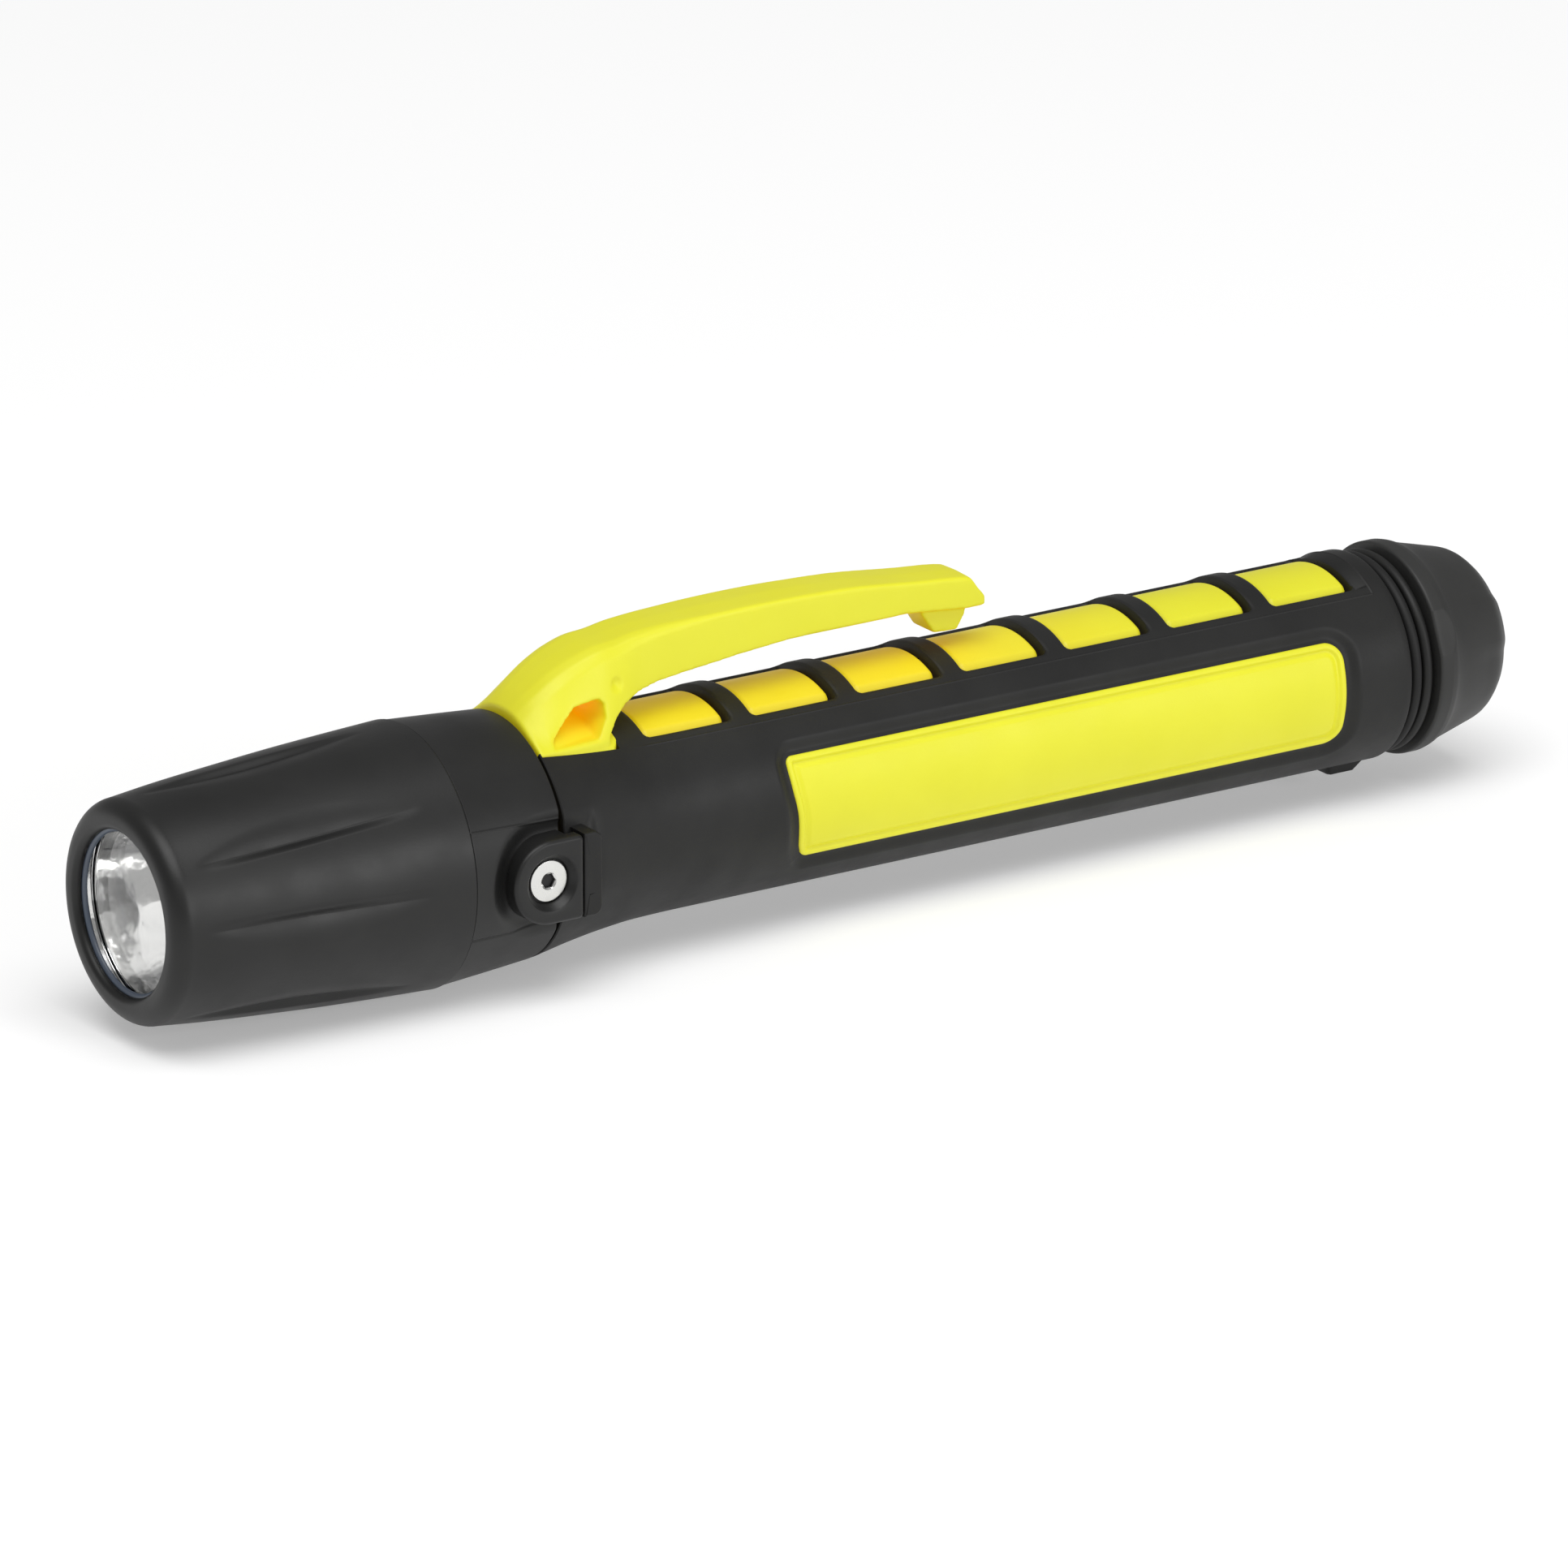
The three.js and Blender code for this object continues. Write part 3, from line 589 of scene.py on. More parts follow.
def head_casing():
    """The head's bezel and collar in one skin, with the screw's boss on the collar."""
    angles = head_angles()
    rear = HEAD_END - HEAD_EDGE
    xs = ticks(FRONT + LIP_OUTER + 0.05, rear, 0.5,
               [(PARTING - 0.2, PARTING + 0.2, 0.05), (PARTING + 0.2, rear, 0.26)])
    rings = turned(arc(FRONT + LIP_INNER, LIP_BORE + LIP_INNER, LIP_INNER, 270, 180, 8), angles)
    rings += turned(arc(FRONT + LIP_OUTER, LIP_FACE, LIP_OUTER, 180, 92, 16), angles)
    rings += [around(x, head_radius(x, angles), angles) for x in xs]
    last = head_radius(xs[-1], angles)
    rings.append(around(HEAD_END - 0.03, last - 0.05, angles))
    rings.append(around(HEAD_END, last - HEAD_EDGE, angles))
    seat = gasket_low.x - 0.1
    rings += turned([(HEAD_END, NECK_BORE), (NECK_TO, NECK_BORE), (NECK_TO, MODULE_BORE),
                     (seat, MODULE_BORE), (seat, LIP_BORE)], angles)
    centre = (SCREW_X, SCREW_Z)
    pocket = [(BOSS_FACE + depth, radius) for depth, radius in POCKET]
    flat = plate_rings(boss_outline(HEAD_END), centre, PLATE_ROOT, COLLAR_FLAT, COLLAR_FLAT_EDGE)
    boss = plate_rings(boss_outline(BOSS_REAR), centre, BOSS_ROOT, BOSS_FACE, BOSS_EDGE, pocket)
    return piece("head_casing", [skin(rings, True), skin(flat, False), skin(boss, False)], shell_black,
                 "head", ["head_shell"])


SEAL_BORE = 8.72
AXIS_GAP = 0.3  # radius at which turned discs are closed by a flat face


def lens_parts():
    """The lens, a disc with a shallow dish in its face, and the round-edged seal in front of it."""
    face, back, edge = lens_low.x, lens_high.x, lens_high.z
    front = [(face + 0.25, AXIS_GAP), (face, 2.0), (face, 6.0), (face + 0.02, edge - 0.25),
             (face + 0.25, edge)]
    rear = [(back - 0.2, edge), (back, edge - 0.2), (back, AXIS_GAP)]
    piece("lens_disc", [lathe(front + rear, 160, False)], lens_clear, "head", ["lens"])
    middle = (gasket_low.x + gasket_high.x) / 2
    half = (gasket_high.x - gasket_low.x) / 2
    outline = arc(middle, SEAL_BORE + half, half, 90, 270, 12)
    outline += [(gasket_low.x, gasket_high.z), (gasket_high.x, gasket_high.z)]
    piece("lens_seal", [lathe(outline)], seal_grey, "head", ["lens_gasket"])


BOWL_SCALE = 6.23  # the bowl is the parabola r * r = scale * depth
BOWL_FROM, BOWL_TO = 1.1, 15.8  # depths from the vertex to its two ends
BOWL_RIM = 9.98
CHIP_HEIGHT = 0.7
DOME_R = 1.75


def reflector_parts():
    """The reflector's bowl and the LED in the hole at its vertex."""
    low, high = span("reflector")
    depths = np.linspace(BOWL_FROM, BOWL_TO, 52)
    inside = [(high.x - d, math.sqrt(BOWL_SCALE * d)) for d in depths]
    outside = [(high.x - d + 0.6, math.sqrt(BOWL_SCALE * d) + 0.7) for d in depths[::-1]]
    front = lens_high.x + 0.05
    rim = [(front, BOWL_RIM), (front, high.z), (low.x + 0.8, high.z), (low.x + 0.9, high.z - 0.2)]
    bowl = lathe(inside + rim + outside[2:], 192)
    piece("reflector_bowl", [bowl], silvered, "head", ["reflector"])
    _, chip = span("led_emitter")
    face = chip.x - CHIP_HEIGHT
    base = [(chip.x, 0.2), (chip.x, chip.z), (face + 0.1, chip.z), (face, chip.z - 0.15)]
    dome = arc(face, 0.0, DOME_R, 90, 174, 14)
    piece("led_dome", [lathe(base + dome, 64, False)], phosphor, "head", ["led_emitter"])


SCREW_SEGMENTS = 96
SOCKET_HALF = 0.75  # half the hexagon socket's width across its flats
SHANK_R = 1.2


def on_screw(levels):
    """Rings about the screw's own axis, from (y, outline) levels."""
    return [np.stack([SCREW_X + p[:, 0], np.full(len(p), y), SCREW_Z + p[:, 1]], -1) for y, p in levels]


def lock_screw():
    """Countersunk socket screw: chamfered head, hexagonal socket with a round countersink, and a dark cup
    inside the socket as painted shade.
    """
    face, tip = screw_low.y, screw_high.y
    radius = screw_high.z - SCREW_Z
    turn = np.arange(SCREW_SEGMENTS) * 360 / SCREW_SEGMENTS
    a = np.radians(turn)
    circle = np.stack([np.cos(a), np.sin(a)], -1)
    off_flat = np.abs((turn % 60) - 30)
    hexagon = circle * (SOCKET_HALF / np.cos(np.radians(off_flat)))[:, None]
    shank = [(tip, circle * 0.8), (tip - 0.4, circle * SHANK_R), (face + 1.4, circle * SHANK_R)]
    head = [(face + 0.4, circle * radius), (face + 0.12, circle * radius),
            (face + 0.03, circle * (radius - 0.05)), (face, circle * (radius - 0.16)),
            (face, circle * 0.98), (face + 0.02, circle * 0.95)]
    socket = [(face + 0.14, hexagon * 1.02), (face + 0.18, hexagon), (face + 1.1, hexagon),
              (face + 1.35, circle * 0.1)]
    piece("socket_screw", [skin(on_screw(shank + head + socket), False)], steel, "head",
          ["lock_screw"], smooth=25)
    # Painted shade: a thin dark cup just inside the hexagonal socket darkens it where its shadow falls.
    shade_lining = [(face + 0.3, hexagon * 0.985), (face + 1.05, hexagon * 0.985), (face + 1.3, circle * 0.1)]
    shade_lining += [(y - 0.02, p * 0.96) for y, p in shade_lining[::-1]]
    piece("socket_painted_shade", [skin(on_screw(shade_lining), True)], painted_shade_steel, "head", smooth=25)


# ---- grip ----
FLARE = [
    (SLEEVE_FROM, 13.65), (-34.3, 12.78), (-29.8, 12.22), (-25.7, 11.9), (-20, GRIP_R), (SLEEVE_TO, GRIP_R),
]
SLEEVE_BORE = 9.6
PANEL_FRONT = [(-31.5, -7.4), (-21, -8.2), (-2, -8.7), (14, -9.3), (26, -9.5), (31.5, -9.4)]
CORNER_FRONT, CORNER_REAR = 0.8, 2.4
PANEL_FLOOR = 9.75  # radius of the side inserts' inner face
RECESS_R = 10.3  # the sleeve under the side inserts
WINDOW_FLOOR = 10.35  # the sleeve under the pads
LADDER_ANGLE = 37.5  # half width of the ladder moulding
LADDER_FROM, LADDER_END = -26, 69.6
BLOCK_REAR = -36.2
BLOCK_CENTRE = (-37.4, SCREW_Z)
FOOT_FROM, FOOT_TO, FOOT_HALF = 66.3, 70.4, 3.5
FOOT_REACH = 12.35  # from the axis to the foot's flat underside
SEAT_REAR = -28.6  # rear edge of the clip's foot
ELSEWHERE = 9.0  # a distance far enough from any edge to leave no mark


def foot_half(x):
    """Half the width of the clip's foot, which narrows towards the rear."""
    return 8.0 - 0.8 * np.clip((x - SLEEVE_FROM) / (SEAT_REAR - SLEEVE_FROM), 0, 1)


def panel_edge(x, angle):
    """Distance outside (+) or inside (-) the side insert's outline, on the grip's surface."""
    front = curve(PANEL_FRONT, angle)
    middle = (front + PANEL_REAR) / 2
    corner = np.where(x > middle, CORNER_REAR, CORNER_FRONT)
    across = np.radians(angle) * PANEL_R
    return rounded_rect(x - middle, across, (PANEL_REAR - front) / 2, PANEL_HALF, corner)


def window_edge(x, angle):
    """Distance outside (+) or inside (-) the nearest window of the ladder."""
    across = np.radians(angle - 90) * GRIP_R
    nearest = np.min([np.abs(x - centre) for centre in PAD_CENTRES], axis=0)
    return rounded_rect(nearest, across, WINDOW_HALF, math.radians(WINDOW_ANGLE) * GRIP_R, 0.75)


def with_recesses(r, x, angle):
    """Sinks the grip under each side insert and softly round it."""
    for centre in (0, 180):
        # the far insert mirrors the near one, so its angles run the other way
        local = (angle - centre + 180) % 360 - 180
        local = local if centre == 0 else -local
        edge = np.where(np.abs(local) < 60, panel_edge(x, local), ELSEWHERE)
        r = r - 0.62 * (1 - ease(edge, 0.35, 1.75))
        r = np.where(edge < -0.4, np.minimum(r, RECESS_R), r)
    return r


def with_windows(r, x, angle):
    """Cuts the ladder's windows, with softened edges, and slopes the last one's rear edge."""
    edge = np.where(np.abs(angle - 90) < 50, window_edge(x, angle), ELSEWHERE)
    r = r - 0.12 * (1 - ease(edge, 0.0, 0.45))
    cut = np.maximum(WINDOW_FLOOR, r - 1.4 * (1 - ease(edge, -0.25, 0.1)))
    r = np.where(edge < 0.12, cut, r)
    slope_from = PAD_CENTRES[-1] + WINDOW_HALF
    slope_to = LADDER_END - 0.3
    rise = np.clip((slope_to - x) / (slope_to - slope_from), 0, 1)
    inside = (1 - ease(np.abs(angle - 90), WINDOW_ANGLE - 1, WINDOW_ANGLE + 1)) * (x > slope_from)
    return r - 0.8 * rise * inside


def ladder_line(x, angle):
    """Height of the fine raised line along the ladder's sides and across its rear end."""
    across = np.radians(np.abs(angle - 90) - LADDER_ANGLE) * GRIP_R
    sides = np.where(x < LADDER_END, bump(across, 0.13), 0)
    end = np.where(across < 0, bump(x - LADDER_END, 0.14), 0)
    return np.where(x > LADDER_FROM, 0.09 * np.maximum(sides, end), 0)


def sleeve_radius(x, angle):
    """The grip's outer radius, with all that is sunk into it or stands up from it."""
    r = curve(FLARE, x) + 0 * angle
    r = with_recesses(r, x, angle)
    r = with_windows(r, x, angle)
    r = r + ladder_line(x, angle)
    y = r * np.cos(np.radians(angle))
    z = r * np.sin(np.radians(angle))
    foot = rounded_rect(x - (FOOT_FROM + FOOT_TO) / 2, y, (FOOT_TO - FOOT_FROM) / 2, FOOT_HALF, 0.6)
    flat = FOOT_REACH / np.maximum(np.sin(np.radians(-angle)), 0.5)
    r = np.where(z < 0, r + (flat - r) * (1 - ease(foot, -0.45, 0.1)), r)
    seat = (z > 0) & (np.abs(y) < foot_half(x) - 0.3) & (x < SEAT_REAR - 0.3)
    r = np.where(seat, r - 1.0, r)
    block = np.maximum(x - BLOCK_REAR, np.abs(z - SCREW_Z) - BOSS_HALF)
    moat = 0.4 * (1 - ease(block, 0.2, 1.3))
    return r - np.where(np.cos(np.radians(angle)) > 0, moat, 0)


def block_outline():
    """The block that carries the boss's line on along the grip, seen along Y."""
    front = BOSS_REAR + 0.12
    edge = [(front, SCREW_Z + z) for z in np.linspace(BOSS_HALF, -BOSS_HALF, 25)]
    return edge + rear_side(BLOCK_REAR, front, 1.0)[:-1]


def sleeve_angles():
    """Angles round the grip, closer together at the edges of inserts, windows and ladder."""
    dense = []
    for side in (0, 180):
        dense += [(side + 28, side + 40.5, 0.5), (side - 40.5, side - 28, 0.5)]
    low, high = 90 - WINDOW_ANGLE, 90 + WINDOW_ANGLE
    dense += [(low - 2.5, low + 1.8, 0.42), (high - 1.8, high + 2.5, 0.42)]
    for edge in (90 - LADDER_ANGLE, 90 + LADDER_ANGLE):
        dense.append((edge - 0.8, edge + 0.8, 0.3))
    return ticks(-60, 300, 2.5, dense)[:-1]


def sleeve_places():
    """Places along the grip, closer together at the ends of windows, inserts, block, seat and foot."""
    window_ends = [c + side * WINDOW_HALF for c in PAD_CENTRES for side in (-1, 1)]
    dense = [(end - 0.55, end + 0.55, 0.11) for end in window_ends]
    dense += [
        (-12.5, -7.0, 0.3), (PANEL_REAR - 3, PANEL_REAR + 2.2, 0.26), (SEAT_REAR - 0.5, SEAT_REAR, 0.1),
        (LADDER_END - 0.2, LADDER_END + 0.2, 0.07), (BLOCK_REAR - 1.3, BLOCK_REAR + 1.2, 0.3),
        (FOOT_FROM - 0.4, FOOT_FROM + 0.6, 0.12),
    ]
    return ticks(SLEEVE_FROM + 0.12, SLEEVE_TO - 0.5, 1.1, dense)


def grip_sleeve():
    """The black overmoulding, with the block that meets the screw's boss."""
    angles = sleeve_angles()
    xs = sleeve_places()
    rings = [around(SLEEVE_FROM, sleeve_radius(xs[0], angles) - 0.12, angles)]
    rings += [around(x, sleeve_radius(x, angles), angles) for x in xs]
    last = sleeve_radius(xs[-1], angles)
    for a in np.radians((30, 60, 90)):
        rings.append(around(SLEEVE_TO - 0.5 + 0.5 * math.sin(a), last - 0.5 * (1 - math.cos(a)), angles))
    rings += turned([(SLEEVE_TO, SLEEVE_BORE), (SLEEVE_FROM, SLEEVE_BORE)], angles)
    block = plate_rings(block_outline(), BLOCK_CENTRE, PLATE_ROOT, BOSS_FACE + 0.2, 0.25)
    return piece("grip_moulding", [skin(rings, True), skin(block, False)], grip_black, "handle",
                 ["grip_sleeve"])


def patch(xs, angles, radius, floor):
    """A curved plate on the grip, over matching grids of x and angle, from floor out to radius."""
    a = np.radians(angles)
    outer, inner = [np.stack([xs, -r * np.cos(a), r * np.sin(a)], -1) for r in (radius, floor)]
    return slab(outer, inner)


def side_insert(side):
    """Raised rim, a groove inside it and a slightly sunken field; the outline is square in front.
    side is -1 for the left insert, on the screw's side, and 1 for the right one."""
    across = ticks(-PANEL_HALF, PANEL_HALF, 0.5, [
        (-PANEL_HALF, -PANEL_HALF + 2.4, 0.075), (PANEL_HALF - 2.4, PANEL_HALF, 0.075)])
    angles = np.degrees(across / PANEL_R)
    front = curve(PANEL_FRONT, angles)
    over_front = np.clip(np.abs(across) - (PANEL_HALF - CORNER_FRONT), 0, CORNER_FRONT)
    over_rear = np.clip(np.abs(across) - (PANEL_HALF - CORNER_REAR), 0, CORNER_REAR)
    first = front + CORNER_FRONT - np.sqrt(CORNER_FRONT ** 2 - over_front ** 2)
    last = PANEL_REAR - CORNER_REAR + np.sqrt(CORNER_REAR ** 2 - over_rear ** 2)
    length = PANEL_REAR + 9
    share = ticks(0, length, 1.0, [(0, 3.2, 0.1), (length - 4.0, length, 0.1)]) / length
    xs = first[:, None] + (last - first)[:, None] * share[None, :]
    grid_angles = np.repeat(angles[:, None], xs.shape[1], axis=1)
    inside = -panel_edge(xs, grid_angles)
    rounding = 0.32 * (1 - np.sqrt(np.clip(1 - (1 - np.clip(inside / 0.4, 0, 1)) ** 2, 0, 1)))
    groove = 0.34 * ease(inside, 0.62, 0.95) - 0.2 * ease(inside, 1.05, 1.7)
    if side > 0:
        grid_angles = 180 - grid_angles
    hand = "left" if side < 0 else "right"
    plate = patch(xs, grid_angles, PANEL_R - rounding - groove, PANEL_FLOOR)
    return piece("side_insert_" + hand, [plate], yellow, "handle",
                 ["side_panel_" + hand])


PAD_FLOOR = 9.8
STRIP_HALF_ANGLE = 31
STRIP_FLOOR, STRIP_TOP = 9.65, 10.15


def grip_pads():
    """The strip of seven raised pads that stand up through the ladder's windows."""
    half = math.radians(PAD_ANGLE) * PAD_R
    along = ticks(-PAD_HALF, PAD_HALF, 0.6, [
        (-PAD_HALF, -PAD_HALF + 0.9, 0.09), (PAD_HALF - 0.9, PAD_HALF, 0.09)])
    across = ticks(-half, half, 0.4, [(-half, -half + 1.3, 0.1), (half - 1.3, half, 0.1)])
    corner = 0.5
    grid_across, grid_along = np.meshgrid(across, along, indexing="ij")
    over = np.clip(np.abs(grid_across) - (half - corner), 0, corner)
    squeeze = 1 - (corner - np.sqrt(corner ** 2 - over ** 2)) / PAD_HALF
    xs = grid_along * squeeze
    long_side = half - np.abs(grid_across)
    short_side = PAD_HALF - np.abs(xs)
    chamfer = 0.42 * np.clip(1 - long_side / 0.95, 0, 1) ** 1.35
    rounded = 0.25 * np.clip(1 - short_side / 0.5, 0, 1) ** 2
    radius = PAD_R + 0.05 - chamfer - rounded
    angles = 90 + np.degrees(grid_across / PAD_R)
    parts = [patch(xs + centre, angles, radius, PAD_FLOOR) for centre in PAD_CENTRES]
    turn = np.linspace(90 - STRIP_HALF_ANGLE, 90 + STRIP_HALF_ANGLE, 24)
    strip_x, strip_angles = np.meshgrid([strip_low.x, strip_high.x], turn)
    parts.append(patch(strip_x, strip_angles, STRIP_TOP, STRIP_FLOOR))
    return piece("grip_pads", parts, pad_yellow_painted_bounce, "handle", ["pad_strip"])


# ---- clip ----
# Sections along the clip: x, top height, top half width, shoulder height, lower half width.
CLIP_SECTIONS = [
    (clip_low.x, 14.4, 2.6, 11.2, 8.0), (-37.6, 16.0, 3.1, 11.1, 7.85), (-34.5, 18.15, 3.6, 10.9, 7.6),
    (-31.5, 19.5, 3.85, 10.7, 7.35), (-29.1, 20.15, 3.9, 10.9, 6.9), (-27, 20.35, 3.8, 11.8, 5.9),
    (-24, 20.85, 3.65, 13.2, 4.4), (-20, 21.1, 3.5, 14.5, 3.8), (-8, 21.3, 3.35, 16, 3.5),
    (2.5, 21.0, 3.2, 16, 3.35), (12.8, 20.0, 3.1, 16, 3.2), (18.9, 19.35, 3.0, 15, 3.1),
    (20.3, 17.8, 2.9, 14.5, 3.0), (arm_high.x, 16.9, 2.8, 14, 2.9),
]
CLIP_FLOOR = 6.0  # the sections reach down to here before they are cut
CLIP_UNDERSIDE = [
    (-29.9, 4), (-29.9, 10.9), (-29.4, 11.7), (-28.4, 12.8), (-26.9, 13.8), (-24.6, 14.5), (-22, 15.0),
    (-12, 15.95), (-5, 16.5), (10.8, 16.5), (19.0, 15.7), (23, 15.6), (23, 4),
]
CLIP_TUNNEL = [
    (-37.4, 11.2), (-36.9, 12.0), (-33.5, 14.7), (-30.4, 15.1), (-29.9, 14.5), (-30.0, 13.0), (-31.3, 11.2),
]
CLIP_TOOTH = [(12.6, 16.9), (13.4, 15.6), (14.9, 13.3), (17.9, 13.2), (18.9, 14.8), (19.4, 16.9)]
CLIP_CLEARANCE = [  # (x, r) of the space kept over the grip behind the foot
    (-29.1, 0.1), (-29.1, 12.5), (-25.7, 12.2), (-20, GRIP_R + 0.3), (40, GRIP_R + 0.3), (40, 0.1),
]
TOOTH_HALF = 2.1
CUT_HALF = 12  # half width of the cutters, wider than the clip
SADDLE_RISE, SADDLE_THICK = 0.12, 1.25
SADDLE_CORNER = 1.0
CLIP_VOXEL = 0.17
DIMPLE_X, DIMPLE_Z, DIMPLE_R, DIMPLE_DEPTH = -27.8, 16.1, 1.05, 0.4


def bake(target):
    """Replaces the object's mesh with what its modifiers make of it."""
    graph = bpy.context.evaluated_depsgraph_get()
    made = bpy.data.meshes.new_from_object(target.evaluated_get(graph))
    target.modifiers.clear()
    target.data = made


def combine(target, parts, operation):
    """Joins or cuts target with a solid of (points, faces) parts."""
    other = linked("other", closed_mesh("other", *parts))
    modifier = target.modifiers.new("combine", "BOOLEAN")
    modifier.operation = operation
    modifier.solver = "EXACT"
    modifier.object = other
    bake(target)
    bpy.data.objects.remove(other)


def upright(outline, half):
    """A prism across Y, from (x, z) points."""
    return skin([[(x, y, z) for x, z in outline] for y in (-half, half)], False)


def vertex_values(mesh, key):
    """Each vertex's co or normal, one row for each."""
    values = np.zeros(len(mesh.vertices) * 3)
    mesh.vertices.foreach_get(key, values)
    return values.reshape(-1, 3)


def painted_bounce_amount(mesh):
    """How much orange bounce light is painted at each point: deep in the tunnel, and less under the arm's
    end.
    """
    x, y, z = ((vertex_values(mesh, "co") - np.array(AXIS)) / MM).T
    normal_x, _, normal_z = vertex_values(mesh, "normal").T
    middle_x, middle_z = np.mean(CLIP_TUNNEL, axis=0)
    inwards = normal_x * (middle_x - x) + normal_z * (middle_z - z)
    near = (np.abs(x - middle_x) < 4.6) & (z > 10.8) & (z < 15.6)
    outer_face = foot_half(x) - 0.55 * np.maximum(z - 11, 0)
    depth = np.clip((outer_face - np.abs(y)) / 5.0, 0, 1) ** 0.7
    tunnel = np.where(near, ease(inwards, 0.0, 1.0) * depth, 0)
    ceiling = 0.55 + 0.45 * ease(z, 12.5, 14.2)
    # painted warm shade on the faces that look down under the arm's end
    under = 0.45 * ease(-normal_z, 0.3, 0.9) * ease(x, -2, 12)
    return np.maximum(tunnel * ceiling, under).astype(np.float32)


def clip_section(x):
    """The clip's outline at x: sides that lean in to a narrow top, with a softened top edge."""
    places = np.array(CLIP_SECTIONS)
    top, top_half, shoulder, low_half = [float(curve(places[:, [0, k]], x)) for k in (1, 2, 3, 4)]
    corner = np.array([top_half, top - 0.12])
    down = np.array([low_half, shoulder]) - corner
    over = np.array([0, top]) - corner
    size = 0.3 + 1.1 * (1 - float(ease(x, -32, -10)))
    down *= size / np.hypot(*down)
    over *= size / np.hypot(*over)
    right = [(low_half, shoulder), tuple(corner + down), tuple(corner + 0.28 * (down + over)),
             tuple(corner + over)]
    outline = [(low_half, CLIP_FLOOR)] + right + [(0, top)]
    outline += [(-y, z) for y, z in right[::-1]] + [(-low_half, CLIP_FLOOR)]
    return [(x, y, z) for y, z in outline]


def saddle():
    """The thin foot that follows the grip's flare, its rear corners rounded."""
    sections = []
    for x in np.linspace(clip_low.x, SEAT_REAR, 12):
        past = max(0.0, x - SEAT_REAR + SADDLE_CORNER)
        inset = SADDLE_CORNER - math.sqrt(max(0.0, SADDLE_CORNER ** 2 - past ** 2))
        half = float(foot_half(x)) - inset
        across = np.linspace(-half, half, 33)
        outer = float(curve(FLARE, x)) + SADDLE_RISE
        inner = outer - SADDLE_THICK
        top = [(x, y, math.sqrt(outer * outer - y * y)) for y in across]
        low = [(x, y, math.sqrt(inner * inner - y * y)) for y in across[::-1]]
        sections.append(top + low)
    return skin(sections, False)


def clip_body():
    """The clip as one solid, still with crisp edges and in millimetres."""
    sections = [clip_section(x) for x in ticks(clip_low.x, arm_high.x, 0.3)]
    body = linked("clip", closed_mesh("clip", *skin(sections, False)))
    seat = [(-45, 0.1), (-45, 12.4)] + [(x, r - 1.15) for x, r in FLARE] + [(SLEEVE_TO, 0.1)]
    combine(body, upright(CLIP_UNDERSIDE, CUT_HALF), "DIFFERENCE")
    combine(body, lathe(CLIP_CLEARANCE, 160, False), "DIFFERENCE")
    combine(body, upright(CLIP_TUNNEL, CUT_HALF), "DIFFERENCE")
    combine(body, saddle(), "UNION")
    combine(body, upright(CLIP_TOOTH, TOOTH_HALF), "UNION")
    combine(body, lathe(seat, 160, False), "DIFFERENCE")
    return body


def clip():
    """The whole clip as one moulding with softened edges."""
    body = clip_body()
    remesh = body.modifiers.new("remesh", "REMESH")
    remesh.mode = "VOXEL"
    remesh.voxel_size = CLIP_VOXEL
    bake(body)
    soften = body.modifiers.new("soften", "SMOOTH")
    soften.factor = 0.5
    soften.iterations = 12
    bake(body)
    points = vertex_values(body.data, "co")
    faces = [list(face.vertices) for face in body.data.polygons]
    bpy.data.objects.remove(body)
    dent = bump(np.hypot(points[:, 0] - DIMPLE_X, points[:, 2] - DIMPLE_Z), DIMPLE_R)
    points[:, 1] -= np.sign(points[:, 1]) * DIMPLE_DEPTH * dent
    made = piece("clip_moulding", [(points, faces)], yellow, None,
                 ["clip_base", "clip_arm"], smooth=0)
    # the amount of painted bounce light at each point, which the yellow's colour and emission read
    painted_bounce = made.data.attributes.new("painted_bounce", "FLOAT", "POINT")
    painted_bounce.data.foreach_set("value", painted_bounce_amount(made.data))
    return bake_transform(made)


# ---- switch end ----
KNOB_FROM = 75.7
KNOB_EDGE = 0.35  # rounding of the knob's front edge
BAND_TO = 77.3  # rear edge of the knob's band
CONE = [
    (77.9, 11.85), (78.5, 11.58), (79.3, 11.3), (81.2, 10.8), (83.1, 10.3), (84.9, 9.8), (85.6, 9.4),
    (86.3, 8.75),
]
CONE_END = CONE[-1][0]
LANDS = [23.2, 203.2]  # flats on the knob's band, each with a raised lobe behind it
LAND_DEPTH = 0.27
LAND_HALF = 12.2  # half a flat's width, in degrees
STEM_FROM, STEM_R = 62, 3.1
KNOB_HOLLOW_TO, KNOB_HOLLOW_R = 80.6, 8.0  # the knob is hollow round its stem, open in front
FLANGE_FROM = 73.9


def knob_radius(x, angle):
    """The knob's outer radius: a round band, then a cone, with flats and lobes."""
    r = np.where(x < BAND_TO, KNOB_R, curve([(BAND_TO, KNOB_R)] + CONE, x)) + 0 * angle
    for centre in LANDS:
        away = np.abs((angle - centre + 180) % 360 - 180)
        flat = (KNOB_R - LAND_DEPTH) / np.cos(np.radians(np.minimum(away, 60)))
        r = np.minimum(r, flat)
        r = r + 0.36 * (1 - ease(away, 12, 24)) * ease(x, 79.0, 85.5)
    return r


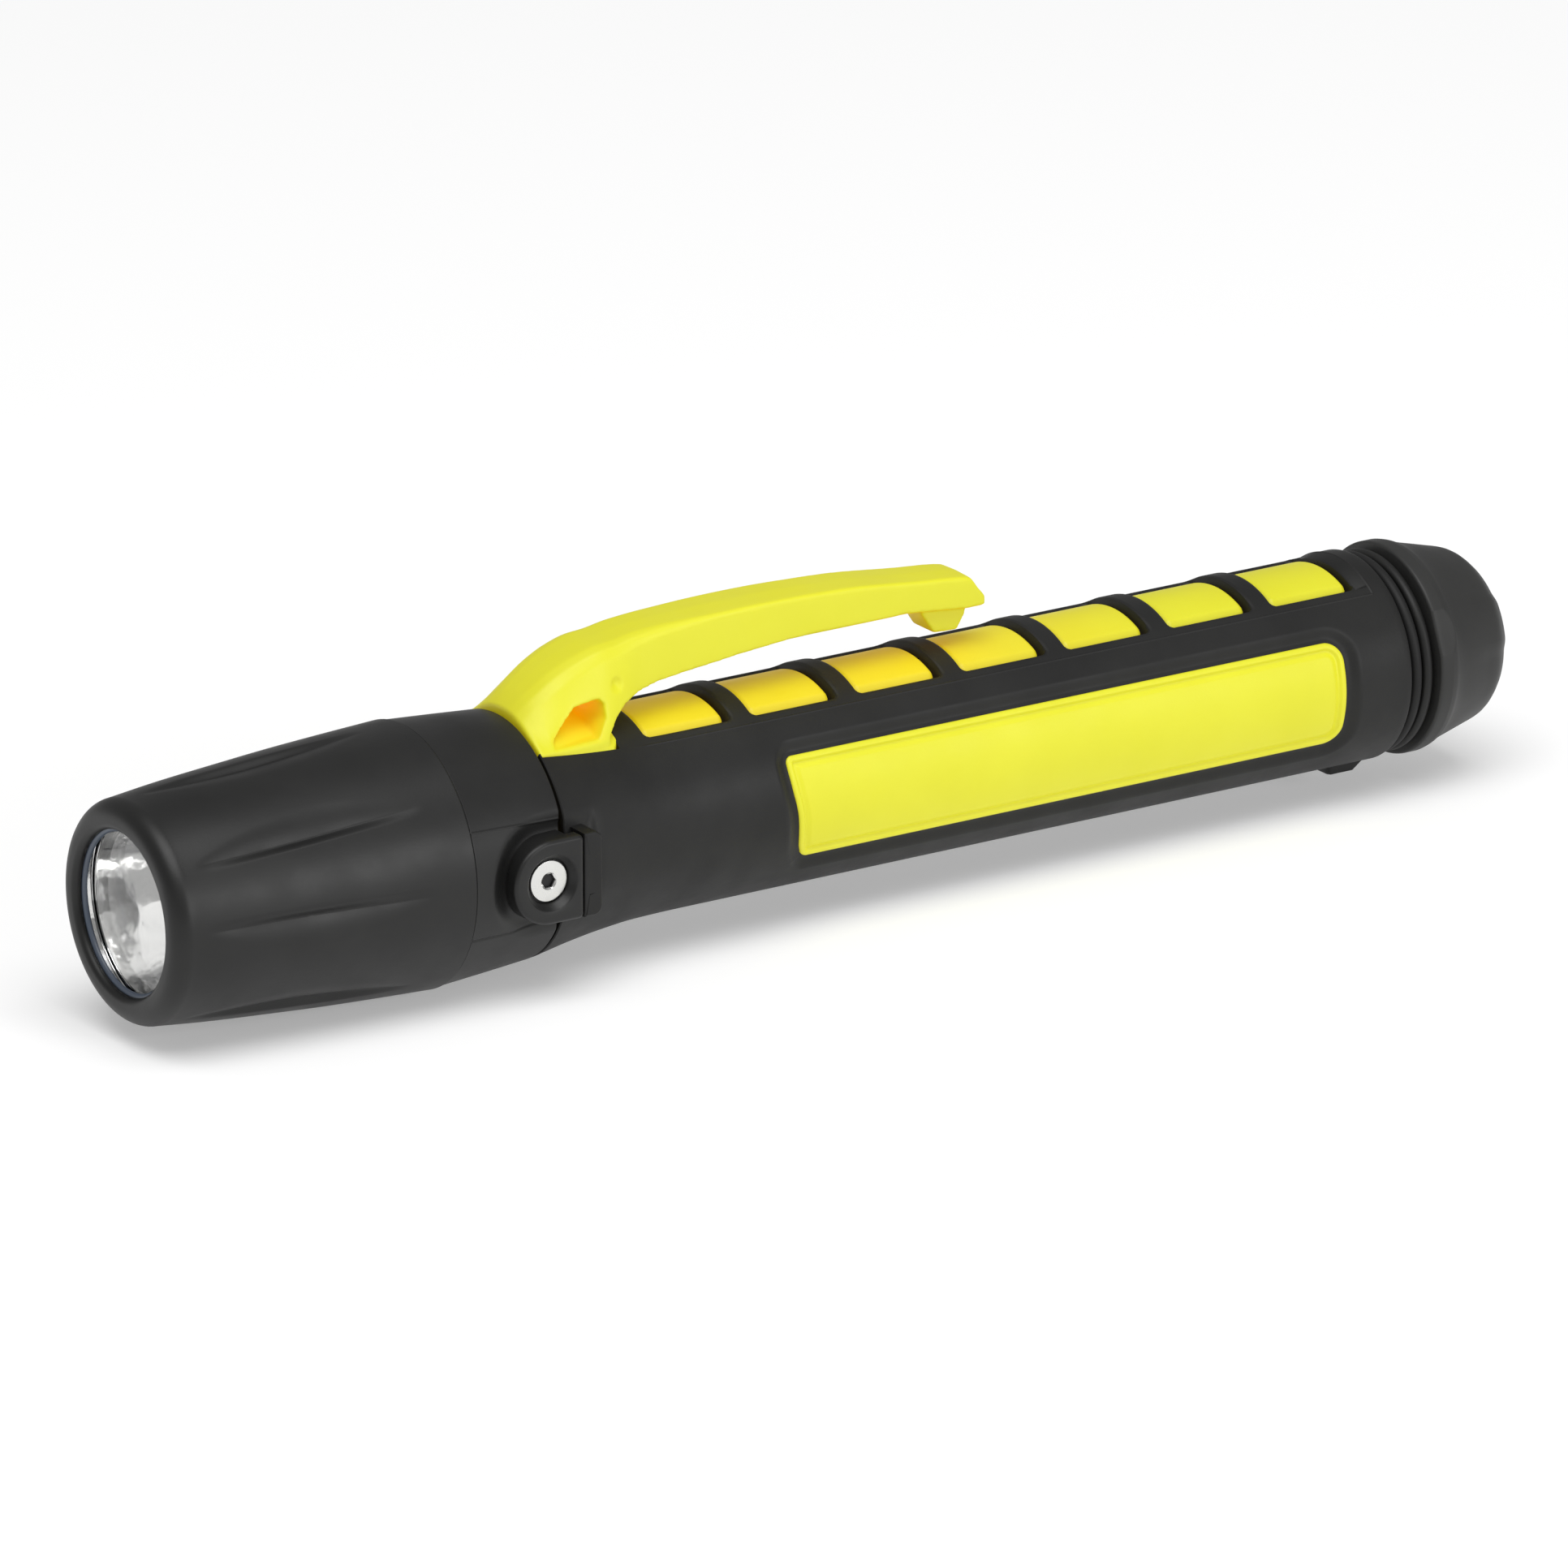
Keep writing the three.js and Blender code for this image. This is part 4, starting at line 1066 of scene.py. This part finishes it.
def twist_knob():
    """The tail knob in one skin, from its stem's front end to the shallow mark in its rear face."""
    corners = [centre + side * LAND_HALF for centre in LANDS for side in (-1, 1)]
    angles = ticks(0, 360, 1.5, [(corner - 0.8, corner + 0.8, 0.2) for corner in corners])[:-1]
    rings = turned([(STEM_FROM, 0.4), (STEM_FROM, STEM_R), (KNOB_HOLLOW_TO, STEM_R),
                    (KNOB_HOLLOW_TO, KNOB_HOLLOW_R), (KNOB_FROM, KNOB_HOLLOW_R)], angles)
    first = knob_radius(KNOB_FROM, angles)
    for a in np.radians((0, 22, 45, 68)):
        x = KNOB_FROM + KNOB_EDGE * (1 - math.cos(a))
        rings.append(around(x, first - KNOB_EDGE * (1 - math.sin(a)), angles))
    xs = ticks(KNOB_FROM + KNOB_EDGE, CONE_END, 0.45, [(BAND_TO - 0.6, BAND_TO, 0.1), (BAND_TO, 79.6, 0.08)])
    rings += [around(x, knob_radius(x, angles), angles) for x in xs]
    last = knob_radius(CONE_END, angles)
    depth = knob_high.x - CONE_END
    for a in np.radians(np.linspace(12, 90, 9)):
        r = last - 1.3 * (1 - math.cos(a)) - 0.6 * math.sin(a)
        rings.append(around(CONE_END + depth * math.sin(a), r, angles))
    rings += turned([(knob_high.x, 5.5), (knob_high.x, 3.0), (knob_high.x - 0.25, 2.7),
                     (knob_high.x - 0.3, 0.4)], angles)
    piece("twist_knob", [skin(rings, False)], knob_black, "knob", ["switch_knob"], smooth=30)


def tail_rings():
    """The socket that the knob turns in, with its ridge, and the O-ring in front of it."""
    ridge = flange_high.z
    outline = [(FLANGE_FROM, 9.8), (FLANGE_FROM, ridge - 0.5)]
    outline += arc(FLANGE_FROM + 0.6, ridge - 0.6, 0.6, 172, 8, 14)
    outline += [(FLANGE_FROM + 1.3, ridge - 0.9), (FLANGE_FROM + 1.4, 7.6), (80, 7.6), (80, 3.6),
                (flange_low.x, 3.6), (flange_low.x, 7.2), (SLEEVE_TO + 0.2, 7.2), (SLEEVE_TO + 0.2, 9.8)]
    piece("tail_socket", [lathe(outline)], grip_black, "handle", ["switch_housing"])
    middle = (seal_low.x + seal_high.x) / 2
    radius = (seal_high.x - seal_low.x) / 2
    section = arc(middle, seal_high.z - radius, radius, 0, 345, 23)
    piece("tail_o_ring", [lathe(section)], rubber_black, "handle", ["switch_seal"])


# ---- studio ----
CAMERA_TURN, CAMERA_RISE, CAMERA_AWAY = -33.21, 18.93, 1.698
CAMERA_LENS = 360.8
CAMERA_AIM = (-0.00519, -0.00303, 0.00008)  # from the torch's middle, on its axis
SENSOR = 36
FLOOR_REACH = 6.0


def look_from(turn, rise, away, target):
    """A place that far from the target: turn is 0 on the -Y side and grows towards +X."""
    a, e = math.radians(turn), math.radians(rise)
    return target + away * Vector((math.sin(a) * math.cos(e), -math.cos(a) * math.cos(e), math.sin(e)))


def aimed(name, data, turn, rise, away, target):
    """A camera or light that looks at the target."""
    made = linked(name, data)
    made.location = look_from(turn, rise, away, target)
    made.rotation_euler = (target - made.location).to_track_quat("-Z", "Y").to_euler()
    return made


def camera():
    middle = (cad_low + cad_high) / 2
    target = Vector((middle.x + CAMERA_AIM[0], CAMERA_AIM[1], AXIS.z + CAMERA_AIM[2]))
    data = bpy.data.cameras.new("camera")
    data.lens = CAMERA_LENS
    data.sensor_width = SENSOR
    data.clip_start, data.clip_end = 0.05, 50
    bpy.context.scene.camera = aimed("camera", data, CAMERA_TURN, CAMERA_RISE, CAMERA_AWAY, target)


def softbox(name, turn, rise, away, width, height, power):
    """A rectangular light that looks at the torch."""
    data = bpy.data.lights.new(name, "AREA")
    data.shape = "RECTANGLE"
    data.size, data.size_y = width, height
    data.energy = power
    aimed(name, data, turn, rise, away, Vector((0, 0, AXIS.z)))


def floor():
    """A wide sheet of pale paper, lit a little from within so that it fades to white."""
    corners = [(-FLOOR_REACH, -FLOOR_REACH, 0), (FLOOR_REACH, -FLOOR_REACH, 0),
               (FLOOR_REACH, FLOOR_REACH, 0), (-FLOOR_REACH, FLOOR_REACH, 0)]
    mesh = bpy.data.meshes.new("floor")
    mesh.from_pydata(corners, [], [(0, 1, 2, 3)])
    material, main = principled("floor_paper", (0.75, 0.75, 0.75), 0.9)
    main.inputs["Specular IOR Level"].default_value = 0.0
    main.inputs["Emission Color"].default_value = (1, 1, 1, 1)
    main.inputs["Emission Strength"].default_value = 0.30
    mesh.materials.append(material)
    linked("floor", mesh)


def studio():
    scene = bpy.context.scene
    scene.view_settings.view_transform = "Standard"
    world = bpy.data.worlds.new("studio")
    world.use_nodes = True
    world.node_tree.nodes["Background"].inputs["Color"].default_value = (1, 1, 1, 1)
    world.node_tree.nodes["Background"].inputs["Strength"].default_value = 0.34
    scene.world = world
    softbox("key", turn=20, rise=17, away=1.8, width=0.7, height=0.5, power=8.4)
    softbox("top", turn=-30, rise=68, away=1.7, width=1.6, height=1.2, power=23)
    floor()


camera()
finish_cad_nodes()
head_casing()
lens_parts()
reflector_parts()
lock_screw()
grip_sleeve()
for side in (-1, 1):
    side_insert(side)
grip_pads()
clip()
twist_knob()
tail_rings()
studio()

bpy.context.view_layer.update()
